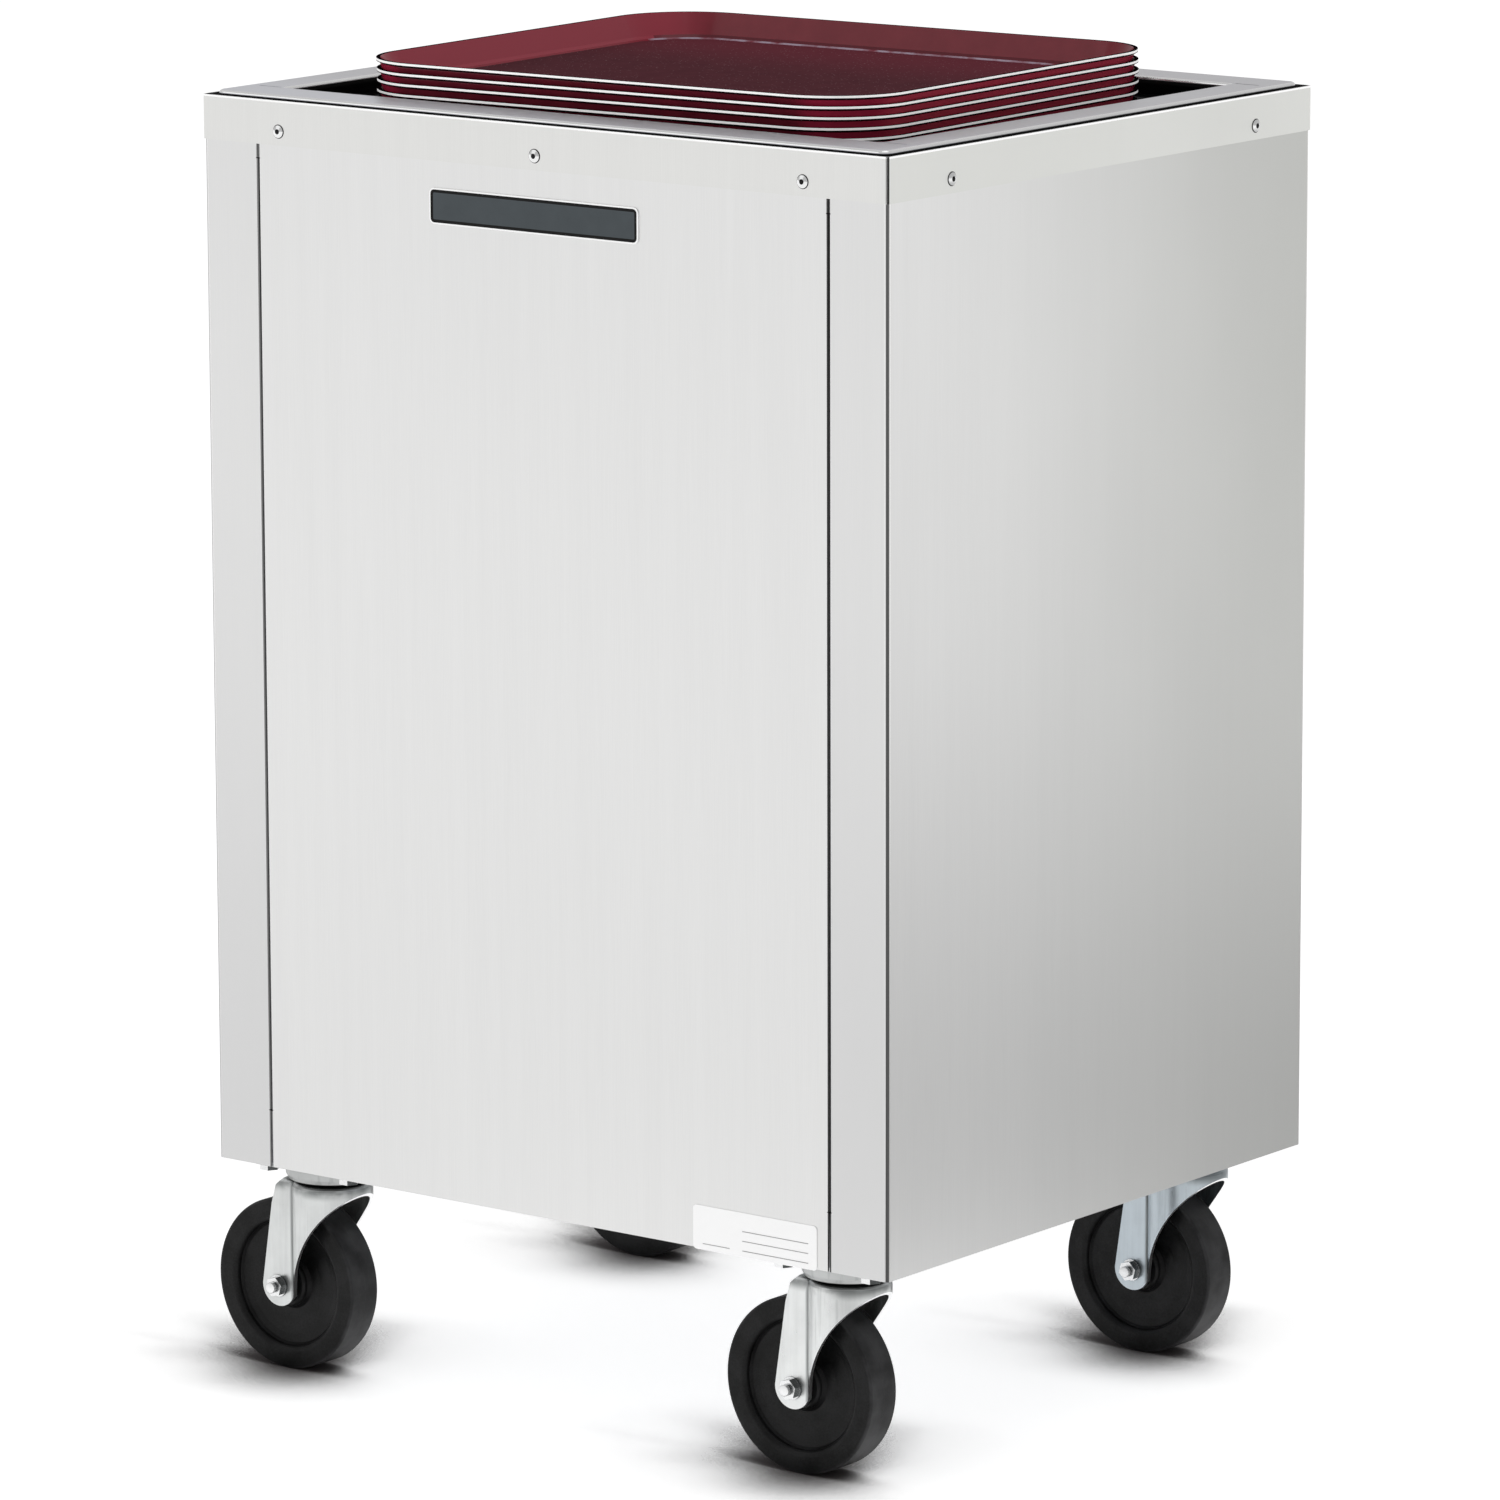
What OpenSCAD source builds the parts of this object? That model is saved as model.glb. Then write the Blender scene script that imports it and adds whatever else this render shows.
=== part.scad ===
/* [Cabinet] */
// Width over the side panels
cab_w = 610; // [590:1:660]
// Depth over the front and back panels
cab_d = 508; // [490:1:560]
// Height from the bottom edge of the panels to the top of the band
cab_h = 782; // [760:1:860]
// Thickness of the panel sheet
panel_t = 1.2; // [0.9:0.1:1.6]
// Width of the side panels' returns on the front and the back
return_w = 50; // [40:1:60]
// Depth of the flanges bent inwards at the panel seams
seam_flange = 14; // [10:1:18]
// Outer radius of the panels' bends at the seams
seam_r = 1.5; // [1.4:0.1:2.4]
// Gap between two panels at a seam
seam_gap = 0.8; // [0.4:0.1:1.5]
// Amount by which the front panel's lower corners are cut back
corner_cut = 1; // [0:0.1:2]
// Outer radius of the cabinet's vertical bends
bend_r = 3; // [2:0.5:5]

/* [Top] */
// Height of the band round the top
band_h = 32; // [28:1:40]
// Thickness of the band
band_t = 1.5; // [1:0.1:2]
// Width of the seam in the band
band_seam = 0.6; // [0.3:0.1:1]
// Distance of the outer rivets from the cabinet's corners
rivet_inset = 71; // [62:1:90]
// Height of the rivets above the band's lower edge
rivet_up = 10; // [8:1:11]
// Diameter of a rivet's head
rivet_head_d = 9; // [7:0.5:11]
// Height of a rivet's head
rivet_head_h = 1.8; // [1.2:0.1:2.4]
// Diameter of a rivet's shank
rivet_d = 4.8; // [4:0.2:5.4]
// Height of the deck above the band
deck_rise = 3; // [1:0.5:6]
// Gap between the cabinet's outer face and the deck's edge
deck_gap = 5.5; // [4.5:0.5:8]
// Thickness of the deck sheet
deck_t = 1.2; // [0.9:0.1:2]
// Depth of the deck's outer skirt
deck_skirt = 18; // [14:1:18]
// Outer radius of the deck's bends
deck_bend_r = 2.5; // [2.1:0.1:4]
// Corner radius of the deck
deck_r = 8; // [6:0.5:12]
// Corner radius of the tray opening
well_r = 4; // [3:0.5:8]
// Width of the deck on the left and the right of the tray opening
margin_x = 32.5; // [30:0.5:39]
// Width of the deck before and behind the tray opening
margin_y = 38.5; // [33:0.5:41]
// Depth of the lips round the tray opening
well_lip = 5; // [4.5:0.5:12]
// Length of the relief slots at the tray opening's corners
relief_l = 20; // [14:1:22]
// Width of the relief slots
relief_w = 1.6; // [1:0.1:2]
// Width of the legs of the top frame's angle
frame_leg = 25; // [22:1:28]
// Thickness of the top frame's angle
frame_t = 2; // [1.5:0.1:3]

/* [Base] */
// Thickness of the base pan
pan_t = 2; // [1.5:0.1:3]
// Height of the base pan's upturned flange
pan_flange = 40; // [30:1:60]
// Thickness of the pads above the casters
pad_t = 3; // [2:0.5:5]
// Margin of a pad beyond the caster plate
pad_margin = 6; // [4:1:8]
// Diameter of a stop bumper's base
bumper_d = 30; // [26:1:34]
// Thickness of a stop bumper's base
bumper_base_h = 3; // [2:0.5:4]
// Height of a stop bumper, on which the loaded carriage comes to rest
bumper_h = 31.7; // [20:0.1:120]
// Distance of the bumpers from the ends of the carriage's feet
bumper_inset = 20; // [17:1:26]

/* [Trays] */
// Gap between the trays and the tray opening on the left and the right
tray_gap_x = 44.5; // [40:0.5:60]
// Gap between the trays and the tray opening in front and behind
tray_gap_y = 11; // [10:0.5:20]
// Height of a tray from the underside of its floor to its rim
tray_h = 22; // [20:0.5:24]
// Corner radius of a tray
tray_r = 60; // [50:1:70]
// Thickness of a tray's floor
tray_floor = 3; // [2.4:0.1:3.5]
// Height of one tray above the next in the stack
tray_pitch = 7.4; // [7.2:0.1:8]
// Height of the rim's edge
rim_t = 2.2; // [1.8:0.1:2.6]
// Number of trays in the stack
tray_count = 16; // [8:1:20]
// Angle at which the stack lies, in degrees
tray_turn = 2.4; // [0:0.1:2.6]
// Largest sideways shift of a tray in the stack
tray_slip = 0.8; // [0:0.1:0.9]
// Height of the top rim above the deck
tray_stand = 24; // [23:1:30]

/* [Carriage] */
// Distance of the tray platform's edge inside the trays' edge
platform_inset = 8; // [6:0.5:14]
// Thickness of the platform sheet
platform_t = 2; // [1.5:0.1:3]
// Depth of the platform's flanges
platform_flange = 18; // [14:1:22]
// Height of the crossbars
bar_h = 24; // [20:1:28]
// Width of a crossbar
bar_w = 22; // [20:1:24]
// Distance of the crossbars from the middle
bar_y = 22; // [20:1:24]
// Thickness of the crossbars' sheet
bar_t = 2; // [1.5:0.1:2.5]
// Thickness of the carriage's side plates
side_t = 3; // [2:0.5:4]
// Width of a side plate's column
column_w = 70; // [66:1:76]
// Distance of the outer springs' holes from the ends of a side plate's foot
foot_end = 12; // [8:1:16]
// Height of a side plate's foot
foot_h = 15; // [13:1:20]
// Width of the flange under a side plate's foot
foot_flange = 12; // [8:1:14]
// Distance of the side plates' tops below the platform
plate_drop = 8.6; // [5:0.1:10]
// Distance of the upper rollers below the side plates' tops
roller_drop = 30; // [26:1:36]
// Distance between the two rollers on a side plate
roller_pitch = 190; // [160:1:220]
// Distance of the springs' holes below the lower rollers
hook_drop = 31; // [28:1:36]
// Distance of the springs' holes above the side plates' lower edges
hook_edge = 8; // [7:0.5:10]
// Diameter of the guide rollers
roller_d = 40.4; // [36:0.1:44]
// Running gap on each side of a roller in its rail
roller_gap = 0.3; // [0.2:0.1:0.6]
// Width of the guide rollers
roller_w = 19.8; // [16:0.1:22]
// Diameter of a roller's pin
pin_d = 10; // [8:0.5:12]
// Depth of the guide rails
rail_d = 30; // [28:1:34]
// Thickness of the guide rails
rail_t = 2; // [1.5:0.1:2.5]
// Width of the slot down a guide rail
rail_slot = 24; // [22:1:28]
// Travel of the carriage above its place in the photo
lift_up = 85; // [60:1:85]

/* [Springs] */
// Outer diameter of a spring
spring_d = 16; // [14:0.5:18]
// Diameter of the spring wire
spring_wire = 1.8; // [1.4:0.1:2]
// Distance of the inner springs from the middle
spring_y = 58; // [54:1:62]
// Distance between two springs
spring_pitch = 22; // [20:1:25]

/* [Casters] */
// Height from the floor to the top of a caster plate
caster_h = 161; // [158:1:170]
// Distance of the swivel axes from the side panels' outer faces
caster_inset_x = 68; // [65:1:80]
// Distance of the swivel axes from the front and back panels' outer faces
caster_inset_y = 47; // [46:1:64]
// Distance of an axle behind its swivel axis
trail = 34; // [28:1:38]
// Diameter of a wheel
wheel_d = 128; // [120:1:130]
// Width of a wheel
wheel_w = 30; // [26:1:32]
// Radius of a wheel's hub
hub_r = 18; // [16:0.5:20]
// Inner radius of the ring on a wheel's sides
ring_r = 47; // [44:0.5:50]
// Depth of the dish between a wheel's hub and ring
dish = 7.5; // [6:0.5:8.5]
// Outer distance between a fork's legs
fork_w = 44; // [42:0.5:48]
// Radius of the fork's round back
fork_r = 30; // [28:0.5:33]
// Radius of the hollow sweep of the fork's front edge
sweep_r = 150; // [140:1:165]
// Depth of the fork's front under the crown
brow_h = 8; // [6:0.5:10]
// Outer radius of the fork's bend under the crown
fork_bend_r = 6; // [5:0.5:8]
// Thickness of the fork's sheet
fork_t = 2.8; // [2.2:0.1:3.2]
// Radius of a leg's lower end
leg_r = 15.4; // [14:0.2:18]
// Length of a caster plate, sideways
plate_l = 95; // [92:1:100]
// Width of a caster plate, front to back
plate_w = 74; // [72:1:80]
// Thickness of a caster plate
plate_t = 3.4; // [3:0.1:4]
// Height of the ball race between a plate and its fork
race_h = 11.6; // [9:0.1:14]
// Spacing of the plate's bolts, sideways
bolt_x = 76; // [74:1:78]
// Spacing of the plate's bolts, front to back
bolt_y = 52; // [50:1:56]
// Diameter of the plate's bolts
bolt_d = 8; // [6:0.5:8]
// Diameter of the axle bolts
axle_d = 8; // [7:0.5:10]
// Diameter of the bush in a wheel
bush_d = 13; // [12:0.5:15]
// Diameter of the kingpin
kingpin_d = 12; // [10:0.5:14]

/* [Hidden] */
$fn = 48;

// Clearances: pieces that rest near each other, a pin in a bore, a bolt in a hole
rest_gap = 0.3;
run_gap = 0.05;
hole_gap = 0.1;

// Colours
stainless = [0.82, 0.82, 0.8];
zinc = [0.76, 0.79, 0.82];
rubber = [0.12, 0.12, 0.12];
nylon = [0.9, 0.89, 0.84];
burgundy = [0.42, 0.13, 0.18];

// Heights
cab_z = caster_h;
band_top = cab_z + cab_h;
band_z = band_top - band_h;
deck_top = band_top + deck_rise;
ledge_z = deck_top - deck_skirt;
frame_z = ledge_z - frame_leg;
flange_z0 = cab_z + pan_flange + 2;
flange_z1 = frame_z - 2;
rivet_z = band_z + rivet_up;

// Insides of the cabinet
in_x = cab_w / 2 - panel_t;
in_y = cab_d / 2 - panel_t;
pan_r = bend_r + pan_t;
deck_w = cab_w - 2 * deck_gap;
deck_d = cab_d - 2 * deck_gap;
well_w = deck_w - 2 * margin_x;
well_d = deck_d - 2 * margin_y;

// Trays
tray_w = well_w - 2 * tray_gap_x;
tray_d = well_d - 2 * tray_gap_y;
rim_z = deck_top + tray_stand;
top_tray_z = rim_z - tray_h;
lug_h = tray_pitch - tray_floor - rest_gap;
lug_r = 6;
lug_inset = 48;
stack_z = top_tray_z - (tray_count - 1) * tray_pitch;

// Carriage
platform_w = tray_w - 2 * platform_inset;
platform_d = tray_d - 2 * platform_inset;
platform_z = stack_z - lug_h - rest_gap;
bar_top = platform_z - platform_t;
side_top = platform_z - plate_drop;
upper_z = side_top - roller_drop;
lower_z = upper_z - roller_pitch;
hook_z = lower_z - hook_drop;
foot_z = hook_z - hook_edge;
foot_w = 2 * (spring_y + spring_pitch + foot_end);
joint_z = side_top - 10;
rail_w = roller_d + 2 * roller_gap + 2 * rail_t;
roller_x = in_x - rail_d / 2;
side_x = in_x - rail_d - 5.3 - side_t / 2;
lift_down = foot_z - rest_gap - bumper_h - pan_t - cab_z;
rail_z = min(flange_z0, lower_z - lift_down - roller_d / 2 - 1);
rail_top = upper_z + lift_up + roller_d / 2 + rest_gap;
pin_nut_h = 5;
pin_head_t = 2;
pin_hex = pin_d + 6;
bolt6_r = 3;
bolt6_head_h = 4;
bolt6_hex = 2 * bolt6_r + 4;

// Springs
hook_hole_r = 3;
hook_r = 6.5;
hook_slack = 0.5;
hanger_t = 2;
hanger_hole_z = frame_z - 14;
hanger_edge = 7;
wire_r = spring_wire / 2;
hook_top_z = hanger_hole_z - hook_hole_r + hook_slack + wire_r - hook_r;
hook_low_z = hook_z + hook_hole_r - hook_slack - wire_r + hook_r;

// Casters
caster_x = cab_w / 2 - caster_inset_x;
caster_y = cab_d / 2 - caster_inset_y;
wheel_r = wheel_d / 2;
crown_z = caster_h - plate_t - race_h;
race_r = 35;
pin_top_z = caster_h - hole_gap;
washer_t = 2.5;
nut_h = 6.5;
head_h = 5;
bolt_hex = bolt_d + 5;
axle_hex = axle_d + 5;
leg_in = fork_w / 2 - fork_t;
crease_x = -sqrt(fork_r * fork_r - fork_w * fork_w / 4);

// The origin lies on the floor under the middle of the whole footprint
foot_left = caster_x + trail + wheel_r;
foot_right = cab_w / 2 + band_t + rivet_head_h;
footprint_x = (foot_left - foot_right) / 2;

// Points along an arc round (cx, cy), from angle a0 to a1 in n steps
function arc(cx, cy, r, a0, a1, n) = [
    for (i = [0:n]) let (a = a0 + (a1 - a0) * i / n) [cx + r * cos(a), cy + r * sin(a)]
];

// Moves a piece from the cabinet's middle to its place over the origin
module placed() {
    translate([footprint_x, 0, 0]) children();
}

module rounded_rect(w, d, r) {
    square([w - 2 * r, d], center = true);
    square([w, d - 2 * r], center = true);
    for (sx = [-1, 1], sy = [-1, 1]) translate([sx * (w / 2 - r), sy * (d / 2 - r)]) circle(r);
}

module rounded_ring(w, d, r, t) {
    difference() {
        rounded_rect(w, d, r);
        rounded_rect(w - 2 * t, d - 2 * t, r - t);
    }
}

// Carries a profile round a rounded rectangle; its x runs outwards from the corners' centres
module rim_sweep(w, d, r) {
    for (k = [0:3]) {
        half = k % 2 == 0 ? w / 2 : d / 2;
        run = k % 2 == 0 ? d - 2 * r : w - 2 * r;
        rotate([0, 0, 90 * k]) translate([half - r, run / 2, 0]) {
            rotate([90, 0, 0]) linear_extrude(run) children();
            rotate_extrude(angle = 90) children();
        }
    }
}

// The edge of a sheet bent down at the origin: a stretch of the flat sheet, the bend and the leg
module bent_edge(r, t, leg, flat = 1) {
    polygon(concat(
        [[-r - flat, 0]],
        arc(-r, -r, r, 90, 0, 6),
        [[0, -leg], [-t, -leg]],
        arc(-r, -r, r - t, 0, 90, 6),
        [[-r - flat, -t]]
    ));
}

module hex(across, h) {
    cylinder(d = across / cos(30), h = h, $fn = 6);
}

// The bent edge of a panel at a seam, clear of the plain sheet below and above it
module seam_edge() {
    clear = 0.8;
    translate([0, 0, flange_z0 + clear]) linear_extrude(flange_z1 - flange_z0 - 2 * clear)
        mirror([1, 0]) mirror([0, 1]) bent_edge(seam_r, panel_t, panel_t + seam_flange);
}

// One side panel: the side itself, its returns round both corners, and their seam flanges
module side_panel(side) {
    edge = cab_w / 2 - return_w;
    mirror([side < 0 ? 1 : 0, 0, 0]) {
        difference() {
            translate([0, 0, cab_z]) linear_extrude(ledge_z - cab_z) intersection() {
                rounded_ring(cab_w, cab_d, bend_r, panel_t);
                translate([edge, -cab_d / 2]) square([return_w, cab_d]);
            }
            translate([edge - 1, -cab_d, flange_z0])
                cube([seam_r + 1, 2 * cab_d, flange_z1 - flange_z0]);
        }
        for (sy = [0, 1]) mirror([0, sy, 0]) translate([edge, -cab_d / 2, 0]) seam_edge();
    }
}

module left_side_panel() {
    placed() color(stainless) difference() {
        side_panel(-1);
        rivet_holes();
    }
}

module right_side_panel() {
    placed() color(stainless) difference() {
        side_panel(1);
        rivet_holes();
    }
}

// The flat panel between two returns, with a flange down each seam
module flat_panel(cut) {
    edge = cab_w / 2 - return_w - seam_gap;
    right = [
        [edge - cut, cab_z], [edge, flange_z0], [edge - seam_r, flange_z0],
        [edge - seam_r, flange_z1], [edge, flange_z1], [edge, ledge_z]
    ];
    left = [for (i = [len(right) - 1:-1:0]) [-right[i][0], right[i][1]]];
    translate([0, panel_t - cab_d / 2, 0]) rotate([90, 0, 0]) linear_extrude(panel_t)
        polygon(concat(right, left));
    for (sx = [0, 1]) mirror([sx, 0, 0]) translate([-edge, -cab_d / 2, 0]) seam_edge();
}

module front_panel() {
    placed() color(stainless) difference() {
        flat_panel(corner_cut);
        rivet_holes();
    }
}

module back_panel() {
    placed() color(stainless) difference() {
        rotate([0, 0, 180]) flat_panel(0);
        rivet_holes();
    }
}

// Puts a rivet at each place round the band, its z axis pointing outwards from the cabinet's face
module at_rivets() {
    front_x = cab_w / 2 - rivet_inset;
    side_y = cab_d / 2 - rivet_inset;
    for (turn = [0, 180], x = [-front_x, 0, front_x]) rotate([0, 0, turn])
        translate([x, -cab_d / 2, rivet_z]) rotate([90, 0, 0]) children();
    for (turn = [90, 270], x = [-side_y, side_y]) rotate([0, 0, turn])
        translate([x, -cab_w / 2, rivet_z]) rotate([90, 0, 0]) children();
}

module rivet_holes() {
    at_rivets() cylinder(r = rivet_d / 2 + hole_gap / 2, h = 30, center = true);
}

// The band is one strip bent round the top, closed by a seam at the front right corner
module top_band() {
    corner = bend_r + band_t;
    placed() color(stainless) difference() {
        translate([0, 0, band_z]) linear_extrude(band_h) difference() {
            union() {
                rounded_ring(cab_w + 2 * band_t, cab_d + 2 * band_t, corner, band_t);
                translate([cab_w / 2 + band_t - corner, -cab_d / 2 - band_t])
                    difference() {
                        square(corner);
                        translate([0, corner]) circle(bend_r);
                    }
            }
            translate([cab_w / 2 - band_seam, -cab_d / 2 - 2 * corner])
                square([band_seam, 2 * corner + bend_r]);
        }
        rivet_holes();
    }
}

module band_rivets() {
    grip = panel_t + frame_t;
    placed() color(zinc) at_rivets() {
        difference() {
            union() {
                translate([0, 0, -grip]) cylinder(d = rivet_d, h = grip + band_t);
                translate([0, 0, band_t]) intersection() {
                    translate([0, 0, rivet_head_h - rivet_head_d]) sphere(rivet_head_d);
                    cylinder(d = rivet_head_d, h = 3);
                }
            }
            translate([0, 0, band_t]) cylinder(r = 1.2, h = 3);
        }
        translate([0, 0, -grip - 3]) cylinder(d = rivet_d + 2.4, h = 3);
    }
}

// A ring of angle inside the panels' tops: the panels and the band are riveted to it, the deck rests on it
module top_frame() {
    placed() color(zinc) difference() {
        union() {
            translate([0, 0, frame_z]) linear_extrude(frame_leg)
                rounded_ring(2 * in_x, 2 * in_y, bend_r, frame_t);
            translate([0, 0, ledge_z - frame_t]) linear_extrude(frame_t)
                rounded_ring(2 * in_x, 2 * in_y, frame_leg + 1, frame_leg);
            translate([0, 0, ledge_z - frame_t]) linear_extrude(frame_t) difference() {
                rounded_rect(2 * in_x, 2 * in_y, bend_r);
                rounded_rect(2 * in_x - 2 * frame_leg, 2 * in_y - 2 * frame_leg, 1);
            }
        }
        rivet_holes();
    }
}

// The deck is one sheet, bent down at its edge and round the tray opening, with a slot at each inner corner
module top_deck() {
    b = deck_bend_r;
    out = well_r + b;
    placed() color(stainless) translate([0, 0, deck_top]) difference() {
        union() {
            translate([0, 0, -deck_t]) linear_extrude(deck_t) difference() {
                rounded_rect(deck_w - 2 * b, deck_d - 2 * b, deck_r - b);
                rounded_rect(well_w + 2 * b, well_d + 2 * b, out);
            }
            rim_sweep(deck_w, deck_d, deck_r) translate([deck_r, 0]) bent_edge(b, deck_t, deck_skirt);
            rim_sweep(well_w + 2 * b, well_d + 2 * b, out) translate([well_r, 0]) mirror([1, 0])
                bent_edge(b, deck_t, well_lip);
        }
        for (sx = [0, 1], sy = [0, 1]) mirror([sx, 0, 0]) mirror([0, sy, 0])
            translate([well_w / 2 + b, well_d / 2, -2 * deck_t]) cube([relief_l, relief_w, 3 * deck_t]);
    }
}

// The base pan closes the bottom: a floor with its edges turned up inside the panels
module base_pan() {
    corner = pan_r + 3;
    placed() color(zinc) difference() {
        translate([0, 0, cab_z]) {
            linear_extrude(pan_t) rounded_rect(2 * (in_x - pan_r), 2 * (in_y - pan_r), corner - pan_r);
            rim_sweep(2 * in_x, 2 * in_y, corner) translate([corner, 0]) mirror([0, 1])
                bent_edge(pan_r, pan_t, pan_flange);
        }
        at_casters() plate_bolt_holes();
    }
}

module at_casters() {
    for (sx = [-1, 1], sy = [-1, 1]) translate([sx * caster_x, sy * caster_y, 0]) children();
}

module at_plate_bolts() {
    for (sx = [-1, 1], sy = [-1, 1]) translate([sx * bolt_x / 2, sy * bolt_y / 2, 0]) children();
}

module plate_bolt_holes() {
    at_plate_bolts() translate([0, 0, caster_h])
        cylinder(r = bolt_d / 2 + hole_gap, h = 2 * pan_flange, center = true);
}

// The pads are trimmed to the flat of the pan
module caster_pads() {
    placed() color(zinc) difference() {
        translate([0, 0, cab_z + pan_t]) linear_extrude(pad_t) intersection() {
            at_casters() rounded_rect(plate_l + 2 * pad_margin, plate_w + 2 * pad_margin, 6);
            square([2 * (in_x - pan_r - rest_gap), 2 * (in_y - pan_r - rest_gap)], center = true);
        }
        at_casters() plate_bolt_holes();
    }
}

// Bolts come up through plate, pan and pad, with their nuts on top
module caster_bolts() {
    under = caster_h - plate_t;
    over = cab_z + pan_t + pad_t;
    placed() color(zinc) at_casters() at_plate_bolts() {
        translate([0, 0, under - head_h]) hex(bolt_hex, head_h);
        translate([0, 0, under - head_h]) cylinder(d = bolt_d, h = over - under + head_h + nut_h + 2);
        translate([0, 0, over]) hex(bolt_hex, nut_h);
    }
}

// Rubber buffers on the pan stop the carriage at the bottom of its travel
module stop_bumpers() {
    placed() color(rubber) for (sx = [-1, 1], sy = [-1, 1])
        translate([sx * (side_x - foot_flange / 2), sy * (foot_w / 2 - bumper_inset), cab_z + pan_t]) {
            cylinder(d1 = 0.8 * bumper_d, d2 = 0.7 * bumper_d, h = bumper_h);
            cylinder(d = bumper_d, h = bumper_base_h);
        }
}

// A rail is a lipped channel on the side panel, closed at its top, where the upper roller stops
module rail(side) {
    mirror([side < 0 ? 1 : 0, 0, 0]) {
        translate([in_x - rail_d, 0, rail_z]) linear_extrude(rail_top - rail_z) difference() {
            translate([0, -rail_w / 2]) square([rail_d, rail_w]);
            translate([rail_t, rail_t - rail_w / 2]) square([rail_d - 2 * rail_t, rail_w - 2 * rail_t]);
            translate([-1, -rail_slot / 2]) square([rail_t + 2, rail_slot]);
        }
        translate([in_x - rail_d, -rail_w / 2, rail_top]) cube([rail_d, rail_w, rail_t]);
    }
}

module left_rail() {
    placed() color(zinc) rail(-1);
}

module right_rail() {
    placed() color(zinc) rail(1);
}

module at_springs() {
    for (k = [0, 1]) translate([0, spring_y + k * spring_pitch, 0]) children();
}

// Each hanger stands off the top frame and drops a leg with one hole for each spring's hook
module spring_hangers() {
    y0 = spring_y - 12;
    len = spring_pitch + 24;
    reach = in_x - frame_t - side_x + hanger_t / 2;
    drop = frame_z - hanger_hole_z + hanger_edge;
    placed() color(zinc) for (sx = [0, 1], sy = [0, 1]) mirror([sx, 0, 0]) mirror([0, sy, 0]) difference() {
        union() {
            translate([in_x - frame_t - hanger_t, y0, frame_z])
                cube([hanger_t, len, frame_leg - frame_t - 2]);
            translate([in_x - frame_t - reach, y0, frame_z]) cube([reach, len, hanger_t]);
            translate([side_x - hanger_t / 2, y0, frame_z - drop]) cube([hanger_t, len, drop + hanger_t]);
        }
        at_springs() translate([side_x - 10, 0, hanger_hole_z]) rotate([0, 90, 0])
            cylinder(r = hook_hole_r, h = 20);
        for (y = [cab_d / 2 - rivet_inset]) translate([in_x - 20, y, rivet_z]) rotate([0, 90, 0])
            cylinder(r = rivet_d, h = 40);
    }
}

// A side plate in its own plane: the column that holds the rollers, on a wide foot for the springs
module side_plate_outline() {
    difference() {
        union() {
            translate([-column_w / 2, foot_z]) square([column_w, side_top - foot_z]);
            translate([-foot_w / 2 + 6, foot_z]) square([foot_w - 12, foot_h]);
            translate([-foot_w / 2, foot_z]) square([foot_w, foot_h - 6]);
            for (s = [-1, 1]) translate([s * (foot_w / 2 - 6), foot_z + foot_h - 6]) circle(6);
        }
        for (z = [upper_z, lower_z]) translate([0, z]) circle(pin_d / 2 + hole_gap);
        for (s = [-1, 1]) translate([s * bar_y, joint_z]) circle(bolt6_r + hole_gap);
        for (s = [-1, 1], k = [0, 1]) translate([s * (spring_y + k * spring_pitch), hook_z])
            circle(hook_hole_r);
    }
}

module side_plate(side) {
    mirror([side < 0 ? 1 : 0, 0, 0]) {
        translate([side_x - side_t / 2, 0, 0]) rotate([90, 0, 90]) linear_extrude(side_t)
            side_plate_outline();
        translate([side_x - side_t / 2 - foot_flange, -foot_w / 2, foot_z])
            cube([foot_flange + side_t, foot_w, side_t]);
    }
}

module left_side_plate() {
    placed() color(zinc) side_plate(-1);
}

module right_side_plate() {
    placed() color(zinc) side_plate(1);
}

// Two inverted channels with closed ends join the side plates and carry the platform
module crossbars() {
    len = 2 * side_x - side_t;
    placed() color(zinc) for (sy = [-1, 1]) translate([0, sy * bar_y, 0]) difference() {
        translate([-len / 2, -bar_w / 2, bar_top - bar_h]) cube([len, bar_w, bar_h]);
        translate([bar_t - len / 2, bar_t - bar_w / 2, bar_top - bar_h - 1])
            cube([len - 2 * bar_t, bar_w - 2 * bar_t, bar_h - bar_t + 1]);
        translate([-len, 0, joint_z]) rotate([0, 90, 0]) cylinder(r = bolt6_r + hole_gap, h = 2 * len);
    }
}

module carriage_bolts() {
    placed() color(zinc) for (sx = [0, 1], sy = [-1, 1]) mirror([sx, 0, 0])
        translate([side_x + side_t / 2, sy * bar_y, joint_z]) rotate([0, -90, 0]) {
            translate([0, 0, -bolt6_head_h]) hex(bolt6_hex, bolt6_head_h);
            translate([0, 0, -2]) cylinder(r = bolt6_r, h = side_t + bar_t + pin_nut_h + 4);
            translate([0, 0, side_t + bar_t]) hex(bolt6_hex, pin_nut_h);
        }
}

// The platform is a shallow pan turned upside down, notched over the crossbars
module tray_platform() {
    b = 4;
    r = 20;
    notch = 2 * bar_y + bar_w + 4;
    placed() color(stainless) difference() {
        translate([0, 0, platform_z]) {
            translate([0, 0, -platform_t]) linear_extrude(platform_t)
                rounded_rect(platform_w - 2 * b, platform_d - 2 * b, r - b);
            rim_sweep(platform_w, platform_d, r) translate([r, 0]) bent_edge(b, platform_t, platform_flange);
        }
        translate([-cab_w / 2, -notch / 2, bar_top - bar_h]) cube([cab_w, notch, bar_h]);
    }
}

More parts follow.
